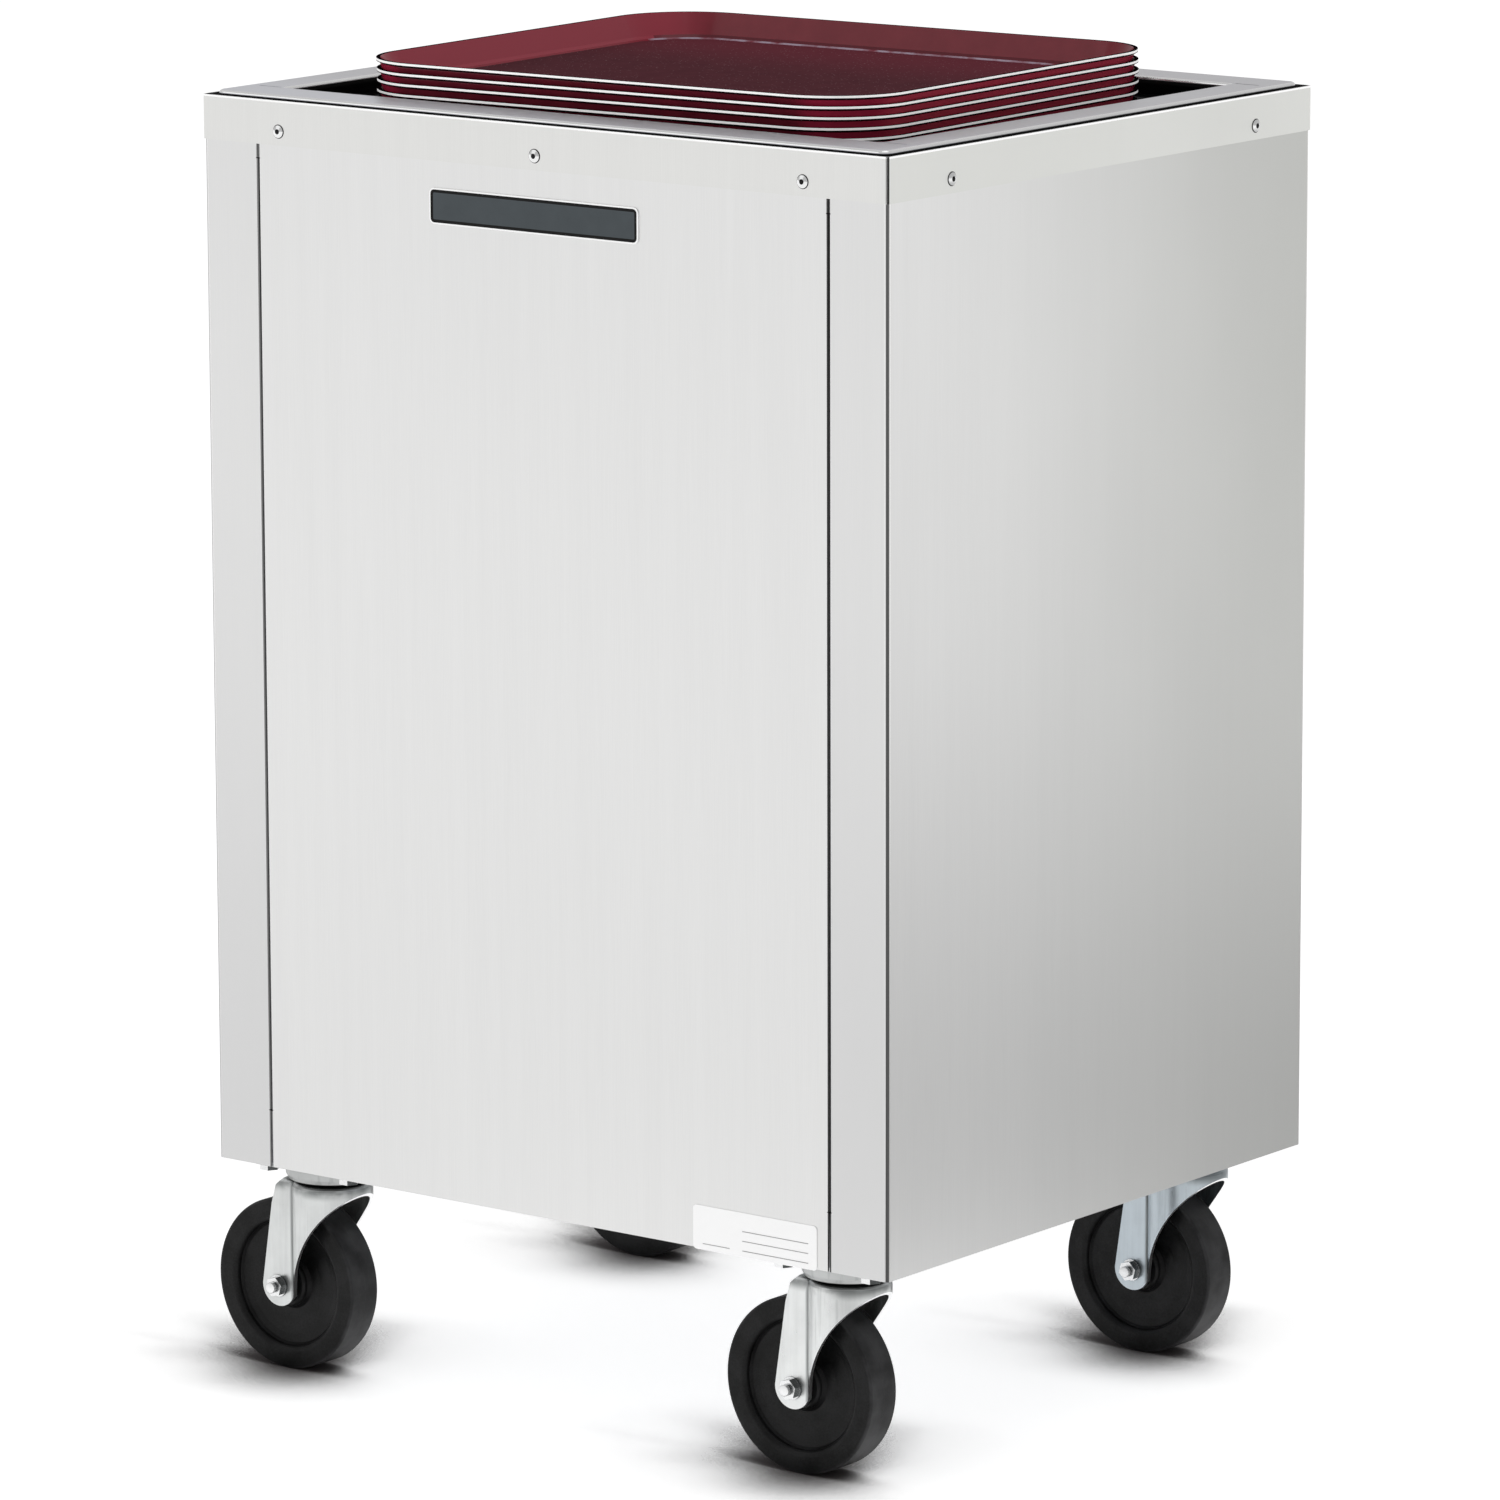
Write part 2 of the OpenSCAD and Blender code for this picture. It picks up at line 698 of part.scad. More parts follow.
// Each pin has a head outside its roller, a collar against the side plate and a nut inside
module roller_pin() {
    outer = roller_x + roller_w / 2 + rest_gap;
    inner = roller_x - roller_w / 2 - rest_gap;
    plate_out = side_x + side_t / 2;
    plate_in = side_x - side_t / 2;
    rotate([0, 90, 0]) {
        translate([0, 0, outer]) cylinder(r = pin_d / 2 + 2.5, h = pin_head_t);
        translate([0, 0, plate_in - pin_nut_h - 1])
            cylinder(d = pin_d, h = outer + 1 - plate_in + pin_nut_h + 1);
        translate([0, 0, plate_out]) cylinder(r = pin_d / 2 + 3, h = inner - plate_out);
        translate([0, 0, plate_in - pin_nut_h]) hex(pin_hex, pin_nut_h);
    }
}

module roller_pins() {
    placed() color(zinc) for (sx = [0, 1], z = [upper_z, lower_z]) mirror([sx, 0, 0])
        translate([0, 0, z]) roller_pin();
}

module guide_roller(side, z) {
    crown = 1;
    placed() color(nylon) translate([side * roller_x, 0, z]) rotate([0, 90, 0]) rotate_extrude() {
        polygon([
            [pin_d / 2 + run_gap, -roller_w / 2],
            [roller_d / 2 - 5, -roller_w / 2],
            [roller_d / 2 - 4, -roller_w / 2 + crown],
            [roller_d / 2 - crown, -roller_w / 2 + crown],
            [roller_d / 2, -roller_w / 2 + 2 * crown],
            [roller_d / 2, roller_w / 2 - 2 * crown],
            [roller_d / 2 - crown, roller_w / 2 - crown],
            [roller_d / 2 - 4, roller_w / 2 - crown],
            [roller_d / 2 - 5, roller_w / 2],
            [pin_d / 2 + run_gap, roller_w / 2]
        ]);
    }
}

module left_upper_roller() {
    guide_roller(-1, upper_z);
}

module left_lower_roller() {
    guide_roller(-1, lower_z);
}

module right_upper_roller() {
    guide_roller(1, upper_z);
}

module right_lower_roller() {
    guide_roller(1, lower_z);
}

module hook_ring() {
    rotate([90, 0, 0]) rotate_extrude() translate([hook_r, 0]) circle(wire_r, $fn = 24);
}

// A spring's close coils are drawn as a sleeve, between the two rings that hook into the plates
module spring() {
    z0 = hook_low_z + hook_r;
    z1 = hook_top_z - hook_r;
    translate([0, 0, hook_low_z]) hook_ring();
    translate([0, 0, hook_top_z]) hook_ring();
    translate([0, 0, z0]) rotate_extrude() {
        translate([spring_d / 2 - spring_wire, 0]) square([spring_wire, z1 - z0]);
        square([spring_d / 2, spring_wire]);
        translate([0, z1 - z0 - spring_wire]) square([spring_d / 2, spring_wire]);
    }
}

module spring_pair(sx, sy) {
    placed() color(zinc) mirror([0, sy < 0 ? 1 : 0, 0]) at_springs() translate([sx * side_x, 0, 0]) spring();
}

module left_front_springs() {
    spring_pair(-1, -1);
}

module left_back_springs() {
    spring_pair(-1, 1);
}

module right_front_springs() {
    spring_pair(1, -1);
}

module right_back_springs() {
    spring_pair(1, 1);
}

// A moulded tray: a flat floor, a cove, a wall that flares out to a flat-edged rim, and four stacking lugs
module tray() {
    r = tray_r;
    under_rim = tray_h - rim_t;
    rim_sweep(tray_w, tray_d, r) polygon([
        [r - 20, 0], [r - 13, 0], [r - 9.5, 2.5], [r - 1.8, under_rim], [r, under_rim],
        [r, tray_h], [r - 3, tray_h], [r - 10.1, 6], [r - 11.6, tray_floor + 1],
        [r - 14, tray_floor], [r - 20, tray_floor]
    ]);
    linear_extrude(tray_floor) rounded_rect(tray_w - 40, tray_d - 40, r - 20);
    for (sx = [-1, 1], sy = [-1, 1])
        translate([sx * (tray_w / 2 - lug_inset), sy * (tray_d / 2 - lug_inset), -lug_h])
            cylinder(r = lug_r, h = lug_h + tray_floor / 2);
}

// Trays further down lie slightly out of line with each other
module tray_at(i) {
    shift = tray_slip * sin(40 * i);
    translate([shift, 0, top_tray_z - i * tray_pitch]) rotate([0, 0, tray_turn]) tray();
}

module tray_stack() {
    placed() color(burgundy) for (i = [1:tray_count - 1]) tray_at(i);
}

module top_tray() {
    placed() color(burgundy) tray_at(0);
}

module at_caster(sx, sy) {
    placed() translate([sx * caster_x, sy * caster_y, 0]) children();
}

// The plate has the upper ball race pressed out below it
module caster_plate() {
    z0 = caster_h - plate_t;
    color(zinc) difference() {
        union() {
            translate([0, 0, z0]) linear_extrude(plate_t) rounded_rect(plate_l, plate_w, 8);
            translate([0, 0, crown_z + rest_gap]) rotate_extrude() polygon([
                [0, 0], [race_r - 7, 0], [race_r - 3, 1.5], [race_r - 1, 5],
                [race_r, z0 - crown_z], [0, z0 - crown_z]
            ]);
        }
        translate([0, 0, crown_z - 1]) cylinder(d = kingpin_d + hole_gap, h = 40);
        plate_bolt_holes();
    }
}

// The kingpin is riveted in the plate, and its washer holds the fork up
module kingpin() {
    low = crown_z - fork_t - rest_gap;
    color(zinc) {
        translate([0, 0, low - washer_t]) cylinder(d = kingpin_d, h = pin_top_z - low + washer_t);
        translate([0, 0, low - washer_t]) cylinder(r = kingpin_d / 2 + 5, h = washer_t);
        translate([0, 0, low - washer_t - 3]) cylinder(r1 = kingpin_d / 2, r2 = kingpin_d / 2 + 2, h = 3);
    }
}

// The fork seen from the side: round leg ends at the axle, a hollow front edge and a swept rear edge
module fork_side_outline() {
    brow = 128.5;
    foot = 157.5;
    polygon(concat(
        arc(-trail, wheel_r, leg_r, -20, -180, 16),
        [
            [-trail - 6, crown_z - 20],
            [-trail - 2, crown_z - 6],
            [-trail + 4, crown_z],
            [fork_r, crown_z]
        ],
        arc(fork_r - sweep_r * cos(brow), crown_z - brow_h - sweep_r * sin(brow), sweep_r, brow, foot, 8)
    ));
}

// Half of the fork's section: a flat top, a pressed bend and a wall
module fork_wall(half, low) {
    translate([half, crown_z]) bent_edge(fork_bend_r, fork_t, crown_z - low, half - fork_bend_r);
}

// The fork is pressed from one sheet: flat legs in front, run into a round back under the crown
module fork() {
    reach = trail + leg_r + 5;
    low = wheel_r - leg_r;
    lap = 0.4;
    color(zinc) difference() {
        intersection() {
            translate([0, fork_w, 0]) rotate([90, 0, 0]) linear_extrude(2 * fork_w) fork_side_outline();
            union() {
                intersection() {
                    rotate_extrude() fork_wall(fork_r, low);
                    translate([crease_x, -fork_r, low]) cube([fork_r - crease_x, 2 * fork_r, crown_z - low]);
                }
                for (s = [0, 1]) mirror([0, s, 0]) translate([crease_x + lap, 0, 0]) rotate([90, 0, -90])
                    mirror([1, 0, 0]) linear_extrude(reach + crease_x + lap) fork_wall(fork_w / 2, low);
            }
        }
        cylinder(r = kingpin_d / 2 + run_gap, h = 2 * caster_h);
        translate([-trail, 0, wheel_r]) rotate([90, 0, 0])
            cylinder(r = axle_d / 2 + hole_gap, h = 4 * fork_w, center = true);
    }
}

// Half of a wheel's section: flat tread, side ring with a round inner edge, dished web and domed hub
function wheel_section(r, h, bore) = concat(
    [[bore, h], [bore + 3, h]],
    arc(hub_r - 4, h - 4, 4, 60, 0, 4),
    [[hub_r + 2, h - dish + 0.5], [hub_r + 10, h - dish], [ring_r - 7, h - dish + 0.3],
        [ring_r - 1.5, h - dish + 1.1]],
    arc(ring_r + 4.5, h - 4.5, 4.5, 180, 90, 6),
    arc(r - 2, h - 2, 2, 90, 0, 4)
);

module wheel() {
    half = wheel_section(wheel_r, wheel_w / 2, bush_d / 2 + run_gap);
    other_half = [for (i = [len(half) - 1:-1:0]) [half[i][0], -half[i][1]]];
    color(rubber) translate([-trail, 0, wheel_r]) rotate([90, 0, 0]) rotate_extrude($fn = 96)
        polygon(concat(half, other_half));
}

module bush() {
    color(zinc) translate([-trail, 0, wheel_r]) rotate([90, 0, 0]) difference() {
        cylinder(d = bush_d, h = 2 * leg_in, center = true);
        cylinder(d = axle_d + 2 * hole_gap, h = 3 * leg_in, center = true);
    }
}

// The axle bolt runs from its head on the back side to a nut on the front side
module axle() {
    out = fork_w / 2;
    color(zinc) translate([-trail, 0, wheel_r]) rotate([90, 0, 0]) {
        translate([0, 0, -out]) cylinder(d = axle_d, h = 2 * out + nut_h + 3.5);
        translate([0, 0, -out - head_h]) hex(axle_hex, head_h);
    }
}

module nut() {
    out = fork_w / 2;
    color(zinc) translate([-trail, 0, wheel_r]) rotate([90, 0, 0]) difference() {
        union() {
            translate([0, 0, out]) cylinder(r = 8, h = 1.4);
            translate([0, 0, out + 1.4]) rotate([0, 0, 15]) hex(axle_hex, nut_h - 1.4);
        }
        translate([0, 0, out - 1]) cylinder(r = axle_d / 2 + run_gap, h = 20);
    }
}

module front_left_plate() { at_caster(-1, -1) caster_plate(); }
module front_right_plate() { at_caster(1, -1) caster_plate(); }
module back_left_plate() { at_caster(-1, 1) caster_plate(); }
module back_right_plate() { at_caster(1, 1) caster_plate(); }
module front_left_kingpin() { at_caster(-1, -1) kingpin(); }
module front_right_kingpin() { at_caster(1, -1) kingpin(); }
module back_left_kingpin() { at_caster(-1, 1) kingpin(); }
module back_right_kingpin() { at_caster(1, 1) kingpin(); }
module front_left_fork() { at_caster(-1, -1) fork(); }
module front_right_fork() { at_caster(1, -1) fork(); }
module back_left_fork() { at_caster(-1, 1) fork(); }
module back_right_fork() { at_caster(1, 1) fork(); }
module front_left_wheel() { at_caster(-1, -1) wheel(); }
module front_right_wheel() { at_caster(1, -1) wheel(); }
module back_left_wheel() { at_caster(-1, 1) wheel(); }
module back_right_wheel() { at_caster(1, 1) wheel(); }
module front_left_bush() { at_caster(-1, -1) bush(); }
module front_right_bush() { at_caster(1, -1) bush(); }
module back_left_bush() { at_caster(-1, 1) bush(); }
module back_right_bush() { at_caster(1, 1) bush(); }
module front_left_axle() { at_caster(-1, -1) axle(); }
module front_right_axle() { at_caster(1, -1) axle(); }
module back_left_axle() { at_caster(-1, 1) axle(); }
module back_right_axle() { at_caster(1, 1) axle(); }
module front_left_nut() { at_caster(-1, -1) nut(); }
module front_right_nut() { at_caster(1, -1) nut(); }
module back_left_nut() { at_caster(-1, 1) nut(); }
module back_right_nut() { at_caster(1, 1) nut(); }

left_side_panel();
right_side_panel();
front_panel();
back_panel();
top_band();
band_rivets();
top_frame();
top_deck();
base_pan();
caster_pads();
caster_bolts();
stop_bumpers();
left_rail();
right_rail();
spring_hangers();
left_side_plate();
right_side_plate();
crossbars();
carriage_bolts();
tray_platform();
roller_pins();
left_upper_roller();
left_lower_roller();
right_upper_roller();
right_lower_roller();
left_front_springs();
left_back_springs();
right_front_springs();
right_back_springs();
tray_stack();
top_tray();
front_left_plate();
front_right_plate();
back_left_plate();
back_right_plate();
front_left_kingpin();
front_right_kingpin();
back_left_kingpin();
back_right_kingpin();
front_left_fork();
front_right_fork();
back_left_fork();
back_right_fork();
front_left_wheel();
front_right_wheel();
back_left_wheel();
back_right_wheel();
front_left_bush();
front_right_bush();
back_left_bush();
back_right_bush();
front_left_axle();
front_right_axle();
back_left_axle();
back_right_axle();
front_left_nut();
front_right_nut();
back_left_nut();
back_right_nut();
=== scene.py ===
import math

import bmesh
import bpy
from mathutils import Matrix, Vector


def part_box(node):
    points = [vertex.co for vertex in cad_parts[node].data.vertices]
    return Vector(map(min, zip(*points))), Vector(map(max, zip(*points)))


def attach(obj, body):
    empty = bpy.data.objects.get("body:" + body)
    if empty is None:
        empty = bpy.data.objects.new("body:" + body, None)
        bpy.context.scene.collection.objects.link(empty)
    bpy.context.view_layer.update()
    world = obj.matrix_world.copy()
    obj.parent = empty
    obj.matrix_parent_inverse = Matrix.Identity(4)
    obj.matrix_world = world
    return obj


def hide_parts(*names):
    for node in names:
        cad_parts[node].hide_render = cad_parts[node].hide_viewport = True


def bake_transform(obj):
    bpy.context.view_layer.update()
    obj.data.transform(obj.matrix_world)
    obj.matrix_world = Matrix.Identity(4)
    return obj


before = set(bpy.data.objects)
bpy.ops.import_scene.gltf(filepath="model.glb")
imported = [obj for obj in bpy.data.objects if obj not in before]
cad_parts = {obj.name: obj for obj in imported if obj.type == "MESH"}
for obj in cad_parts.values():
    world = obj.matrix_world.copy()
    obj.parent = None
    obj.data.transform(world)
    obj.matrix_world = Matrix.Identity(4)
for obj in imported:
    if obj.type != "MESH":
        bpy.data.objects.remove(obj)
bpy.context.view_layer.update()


# The side, front and back panels are brushed stainless sheet with the grain running upwards.
# Each side panel is bent round both corners, and the front and back panels lie flush between the returns.
# The inner faces are seen down the opening. They are pale low in the cabinet and painted near black under the
# top frame, as painted shade.

HAIR = 0.0001
SHEET = 0.0011
RETURN = 0.0504
SEAM_HALF = 0.0022
BEND_W = 0.003
SCRATCH_ALONG, SCRATCH_ACROSS = 22, 2600
STREAK_ALONG, STREAK_ACROSS = 2, 90
SHADE_LOW_Z, SHADE_HIGH_Z = 0.2, 0.8
SHADE_FRONT_Y, SHADE_BACK_Y = -0.27, 0.3
INSIDE_PALE_Z, INSIDE_DARK_Z = 0.74, 0.87


class Shade:
    """A value in a finish's node tree. Sums and products of it add the Math nodes that work them out."""

    def __init__(self, tree, socket=None):
        self.tree = tree
        self.socket = socket

    def node(self, kind, settings=(), inputs=(), out=0):
        """Adds a node of that kind with its settings, feeds its sockets and gives one of its outputs."""
        made = self.tree.nodes.new("ShaderNode" + kind)
        for name, value in dict(settings).items():
            setattr(made, name, value)
        for name, value in dict(inputs).items():
            if isinstance(value, Shade):
                self.tree.links.new(value.socket, made.inputs[name])
            else:
                made.inputs[name].default_value = value
        return Shade(self.tree, made.outputs[out])

    def math(self, operation, *values):
        return self.node("Math", {"operation": operation}, enumerate(values))

    def __add__(self, other):
        return self.math("ADD", self, other)

    __radd__ = __add__

    def __mul__(self, other):
        return self.math("MULTIPLY", self, other)

    __rmul__ = __mul__

    def __sub__(self, other):
        return self.math("SUBTRACT", self, other)

    def __rsub__(self, other):
        return self.math("SUBTRACT", other, self)

    def __pow__(self, other):
        return self.math("POWER", self, other)

    def __lt__(self, other):
        return self.math("LESS_THAN", self, other)

    def __gt__(self, other):
        return self.math("GREATER_THAN", self, other)

    def __or__(self, other):
        """The greater of two masks."""
        return self.math("MAXIMUM", self, other)

    def __abs__(self):
        return self.math("ABSOLUTE", self)

    def place(self):
        """The point on the piece, in metres from the floor under the cart's middle."""
        return self.node("TexCoord", out="Object")

    def facing(self):
        """The way that the surface faces on the piece itself, however the piece is turned."""
        return self.node("TexCoord", out="Normal")

    def stretched(self, x, y, z):
        return self.node("VectorMath", {"operation": "MULTIPLY"}, {0: self, 1: (x, y, z)})

    def noise(self, scale=1.0, detail=2.0, rough=0.5):
        fed = {"Vector": self, "Scale": scale, "Detail": detail, "Roughness": rough}
        return self.node("TexNoise", inputs=fed)

    def axis(self, name):
        return self.node("SeparateXYZ", inputs={0: self}, out=name)

    def open_air(self, reach, samples=6, lean=None):
        """1 where nothing is near and less in corners. With a lean it looks that way, not straight out."""
        fed = {"Distance": reach}
        if lean:
            fed["Normal"] = self.node("CombineXYZ", inputs=enumerate(lean))
        return self.node("AmbientOcclusion", {"samples": samples}, fed, out="AO")

    def between(self, low, high):
        """0 below low, 1 above high, and a smooth rise from one to the other."""
        return self.node("MapRange", {"interpolation_type": "SMOOTHSTEP"}, {0: self, 1: low, 2: high})

    def mix(self, first, second):
        """The first colour where this value is 0 and the second where it is 1."""
        return self.node("Mix", {"data_type": "RGBA"}, {0: self, 6: first, 7: second}, out=2)

    def bump(self, height, strength=1.0):
        """Tilts the surface's normal by this height, in metres."""
        return self.node("Bump", inputs={"Height": self, "Distance": height, "Strength": strength})

    def feeds(self, socket, shader="Principled BSDF"):
        self.tree.links.new(self.socket, self.tree.nodes[shader].inputs[socket])


def new_finish(name, **constants):
    """Starts a finish: the material, and a Shade to build it with.
    The constants go on the shader's own sockets."""
    material = bpy.data.materials.new(name)
    material.use_nodes = True
    sockets = material.node_tree.nodes["Principled BSDF"].inputs
    for socket, value in constants.items():
        sockets[socket.replace("_", " ")].default_value = value
    return material, Shade(material.node_tree)


def coat(material, *nodes):
    """Gives the CAD nodes one finish all over."""
    for name in nodes:
        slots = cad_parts[name].data.materials
        slots.clear()
        slots.append(material)


def scaled(tone, factor):
    return [factor * channel for channel in tone] + [1]


def brushed_stainless(name, tone, grain, roughness):
    """Starts brushed stainless: fine scratches along the grain, broader streaks and faint hand marks.
    Gives the material, the place on it, and the colour and roughness, which are still to be fed."""
    material, shade = new_finish(name, Metallic=1.0, Anisotropic=0.4)
    place = shade.place()
    fine = place.stretched(*[SCRATCH_ALONG if k == grain else SCRATCH_ACROSS for k in "xyz"]).noise(rough=0.6)
    broad = place.stretched(*[STREAK_ALONG if k == grain else STREAK_ACROSS for k in "xyz"]).noise(detail=3.0)
    marks = place.stretched(6, 6, 4).noise(detail=4.0)
    (fine * 0.8 + broad * 0.2).bump(0.00003, 0.3).feeds("Normal")
    polish = (fine * 0.5 + broad * 0.25 + marks * 0.25).between(0.3, 0.7)
    skin = polish.mix(scaled(tone, 0.95), scaled(tone, 1))
    return material, place, skin, fine * 0.08 + marks * 0.1 + (roughness - 0.09)


cab_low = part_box("left_side_panel")[0]
cab_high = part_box("right_side_panel")[1]
middle_x = (cab_low.x + cab_high.x) / 2
half_w = (cab_high.x - cab_low.x) / 2
half_d = cab_high.y
for name, bent, nodes in (
        ("flat panels", False, ("front_panel", "back_panel")),
        ("side panels", True, ("left_side_panel", "right_side_panel"))):
    material, place, skin, rough = brushed_stainless(
        "brushed stainless " + name, (0.81, 0.81, 0.805), "z", 0.38)
    facing = place.facing()
    across, along = abs(facing.axis("X")), abs(facing.axis("Y"))
    out_x, out_y = abs(place.axis("X") - middle_x), abs(place.axis("Y"))
    # Painted shade: the side faces are painted darker towards the back, and the returns darker towards the
    # bottom.
    if bent:
        rise = place.axis("Z").between(SHADE_LOW_Z, SHADE_HIGH_Z)
        painted_shade = place.axis("Y").between(SHADE_FRONT_Y, SHADE_BACK_Y) * (across > 0.7) * (rise * 0.4 + 0.6)
        skin = painted_shade.mix(skin, (0.56, 0.565, 0.545, 1))
        skin = ((along > 0.7) * (1 - rise * 0.7)).mix(skin, (0.70, 0.70, 0.70, 1))
    bend = across * along > 0.03
    # Painted shade: a dark line down each rounded vertical corner of the sheet.
    painted_bend_shade = (across > 0.35) * (along > 0.35) * (out_x > half_w - BEND_W)
    inside = (out_x < half_w - SHEET) * (out_y < half_d - SHEET)
    outer_face = out_y > half_d - HAIR
    # Painted shade in the seams: the gap and a strip of the outer face beside it are painted dark, darker at
    # the right-hand seam.
    groove = abs(out_x - (half_w - RETURN)) < SEAM_HALF - outer_face * (SEAM_HALF * 0.3)
    painted_groove_shade = (place.axis("X") > middle_x).mix((0.22, 0.22, 0.22, 1), (0.07, 0.07, 0.07, 1))
    skin = groove.mix(painted_bend_shade.mix(skin, (0.14, 0.14, 0.14, 1)), painted_groove_shade)
    # Painted shade: the inner faces are painted near black high up, under the top frame.
    painted_inside_shade = place.axis("Z").between(INSIDE_PALE_Z, INSIDE_DARK_Z)
    inner_skin = painted_inside_shade.mix((0.50, 0.50, 0.50, 1), (0.035, 0.035, 0.035, 1))
    inside.mix(skin, inner_skin).feeds("Base Color")
    (rough - bend * (rough - 0.16) + inside * 0.3).feeds("Roughness")
    coat(material, *nodes)


# The band is a strip of the same steel wrapped round the top, with a polished upper edge that is also painted
# white as a painted highlight.
# It is closed by an open seam at the front right corner, painted near black beside the seam as painted shade.
# Its left and right faces are painted darker as shade.

HEM = 0.0016
SEAM_EDGE = 0.0012

band_low, band_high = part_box("top_band")
material, place, skin, rough = brushed_stainless("brushed stainless band", (0.79, 0.79, 0.775), "z", 0.36)
# Painted highlight: the top of the band is painted white.
hem_polish_and_highlight = place.axis("Z").between(band_high.z - HEM, band_high.z - HEM / 2)
# Painted shade: the band is painted near black beside the open seam.
seam = (place.axis("X") > band_high.x - SEAM_EDGE) * (place.axis("Y") < band_low.y + SEAM_EDGE)
# Painted shade: the band's left and right faces are painted darker than its front and back.
skin = (abs(place.facing().axis("X")) > 0.7).mix(skin, (0.73, 0.735, 0.71, 1))
seam.mix(hem_polish_and_highlight.mix(skin, (1, 1, 1, 1)), (0.03, 0.03, 0.03, 1)).feeds("Base Color")
(rough - hem_polish_and_highlight * 0.1).feeds("Roughness")
coat(material, "top_band")


# Blind rivets hold the band. Each has a domed aluminium head with the broken end of its steel mandrel inside.
# The domes' very tops are painted black as painted shade in the hole, and a black ring round each head is a
# painted shadow in the corner.

RIVET_INSET = 0.071
RIVET_R = 0.0045
MANDREL_R = 0.00175
MANDREL_TOP = 0.0032
HOLE_SHADE_TOP = 0.00306
SHADOW_RING_IN = 0.0005
SHADOW_RING_OUT = 0.0006
SHADOW_RING_H = 0.0002

rivet_metal, shade = new_finish("aluminium rivets", Metallic=1.0)
place = shade.place()
mottle = place.noise(900.0, 3.0)
# Painted shade: the very tops of the domes, round the hole, are painted black.
painted_hole_shade = (abs(place.axis("Y")) > half_d + HOLE_SHADE_TOP) + (abs(place.axis("X") - middle_x) > half_w + HOLE_SHADE_TOP)
bright = mottle.mix((0.80, 0.81, 0.81, 1), (0.93, 0.93, 0.93, 1))
painted_hole_shade.mix(bright, (0.004, 0.004, 0.004, 1)).feeds("Base Color")
(mottle * 0.15 + 0.12).feeds("Roughness")
mottle.bump(0.00003, 0.4).feeds("Normal")
coat(rivet_metal, "band_rivets")

# The mandrel ends are painted near black as the shade in the hole, and the rings round the heads share this
# black as a painted shadow.
mandrel_and_shadow_black, shade = new_finish("broken mandrel ends and painted shadow rings", Specular_IOR_Level=0.2)
mottle = shade.place().noise(2500.0)
mottle.mix((0.004, 0.004, 0.004, 1), (0.02, 0.02, 0.021, 1)).feeds("Base Color")
(mottle * 0.3 + 0.55).feeds("Roughness")


def new_object(name, mesh, *materials):
    """Turns a finished mesh into an object with its finishes."""
    data = bpy.data.meshes.new(name)
    mesh.to_mesh(data)
    mesh.free()
    for material in materials:
        data.materials.append(material)
    made = bpy.data.objects.new(name, data)
    bpy.context.collection.objects.link(made)
    return made


def add_piece(name, mesh, body, slot, *materials):
    """Makes a piece of the cart from a mesh. It moves with one body."""
    bmesh.ops.recalc_face_normals(mesh, faces=mesh.faces)
    piece = new_object(name, mesh, *materials)
    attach(piece, body)


def turned(mesh, profile, foot, way, sides=24):
    """Turns a profile of (radius, height) points round a line from the foot. A radius of 0 closes an end."""
    stand = Matrix.Translation(foot) @ Vector(way).to_track_quat("Z", "Y").to_matrix().to_4x4()
    rings = []
    for radius, height in profile:
        turns = [2 * math.pi * k / sides for k in range(sides if radius else 1)]
        rings.append([mesh.verts.new(stand @ Vector((radius * math.cos(t), radius * math.sin(t), height)))
                      for t in turns])
    for low, high in zip(rings, rings[1:]):
        for k in range(sides):
            corners = [ring[j % len(ring)] for ring, j in ((low, k), (low, k + 1), (high, k + 1), (high, k))]
            mesh.faces.new(list(dict.fromkeys(corners))).smooth = True


rivet_low, rivet_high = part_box("band_rivets")
rivet_z = (rivet_low.z + rivet_high.z) / 2
seats = []
for side, face in ((-1, cab_low), (1, cab_high)):
    for x in (cab_low.x + RIVET_INSET, middle_x, cab_high.x - RIVET_INSET):
        seats.append(((x, face.y, rivet_z), (0, side, 0)))
    for y in (cab_low.y + RIVET_INSET, cab_high.y - RIVET_INSET):
        seats.append(((face.x, y, rivet_z), (side, 0, 0)))
band_t = cab_low.y - band_low.y
stalk_r = 0.6 * MANDREL_R
mandrel = [(0, band_t), (stalk_r, band_t), (stalk_r, MANDREL_TOP - 3 * HAIR),
           (MANDREL_R, MANDREL_TOP - 2 * HAIR), (MANDREL_R, MANDREL_TOP - HAIR),
           (0.7 * MANDREL_R, MANDREL_TOP), (0, MANDREL_TOP - HAIR)]
# A thin black ring round each head is a painted shadow in the corner between the head and the band.
painted_shadow_ring = [(RIVET_R - SHADOW_RING_IN, band_t), (RIVET_R - SHADOW_RING_IN, band_t + SHADOW_RING_H),
              (RIVET_R + SHADOW_RING_OUT / 2, band_t + SHADOW_RING_H), (RIVET_R + SHADOW_RING_OUT, band_t),
              (RIVET_R - SHADOW_RING_IN, band_t)]
mesh = bmesh.new()
for foot, way in seats:
    turned(mesh, mandrel, foot, way, 16)
    turned(mesh, painted_shadow_ring, foot, way)
add_piece("rivet_mandrels_and_shadow_rings", mesh, "cabinet", "zinc_hardware", mandrel_and_shadow_black)


# A plate of enamelled aluminium is fixed below the band, in the middle of the front. Its face is slate grey
# inside a black border, its rim is bare metal, and it carries nothing.

BADGE_W = 0.187
BADGE_H = 0.026
BADGE_X = -0.0025
BADGE_Z = 0.879
BADGE_CORNER = 0.0045
BADGE_STAND = 0.0009
RIM_W = 0.0013
BORDER_IN = 0.0035
EDGE = 0.0002
LEAST_CORNER = 0.0003
CORNER_STEPS = 6


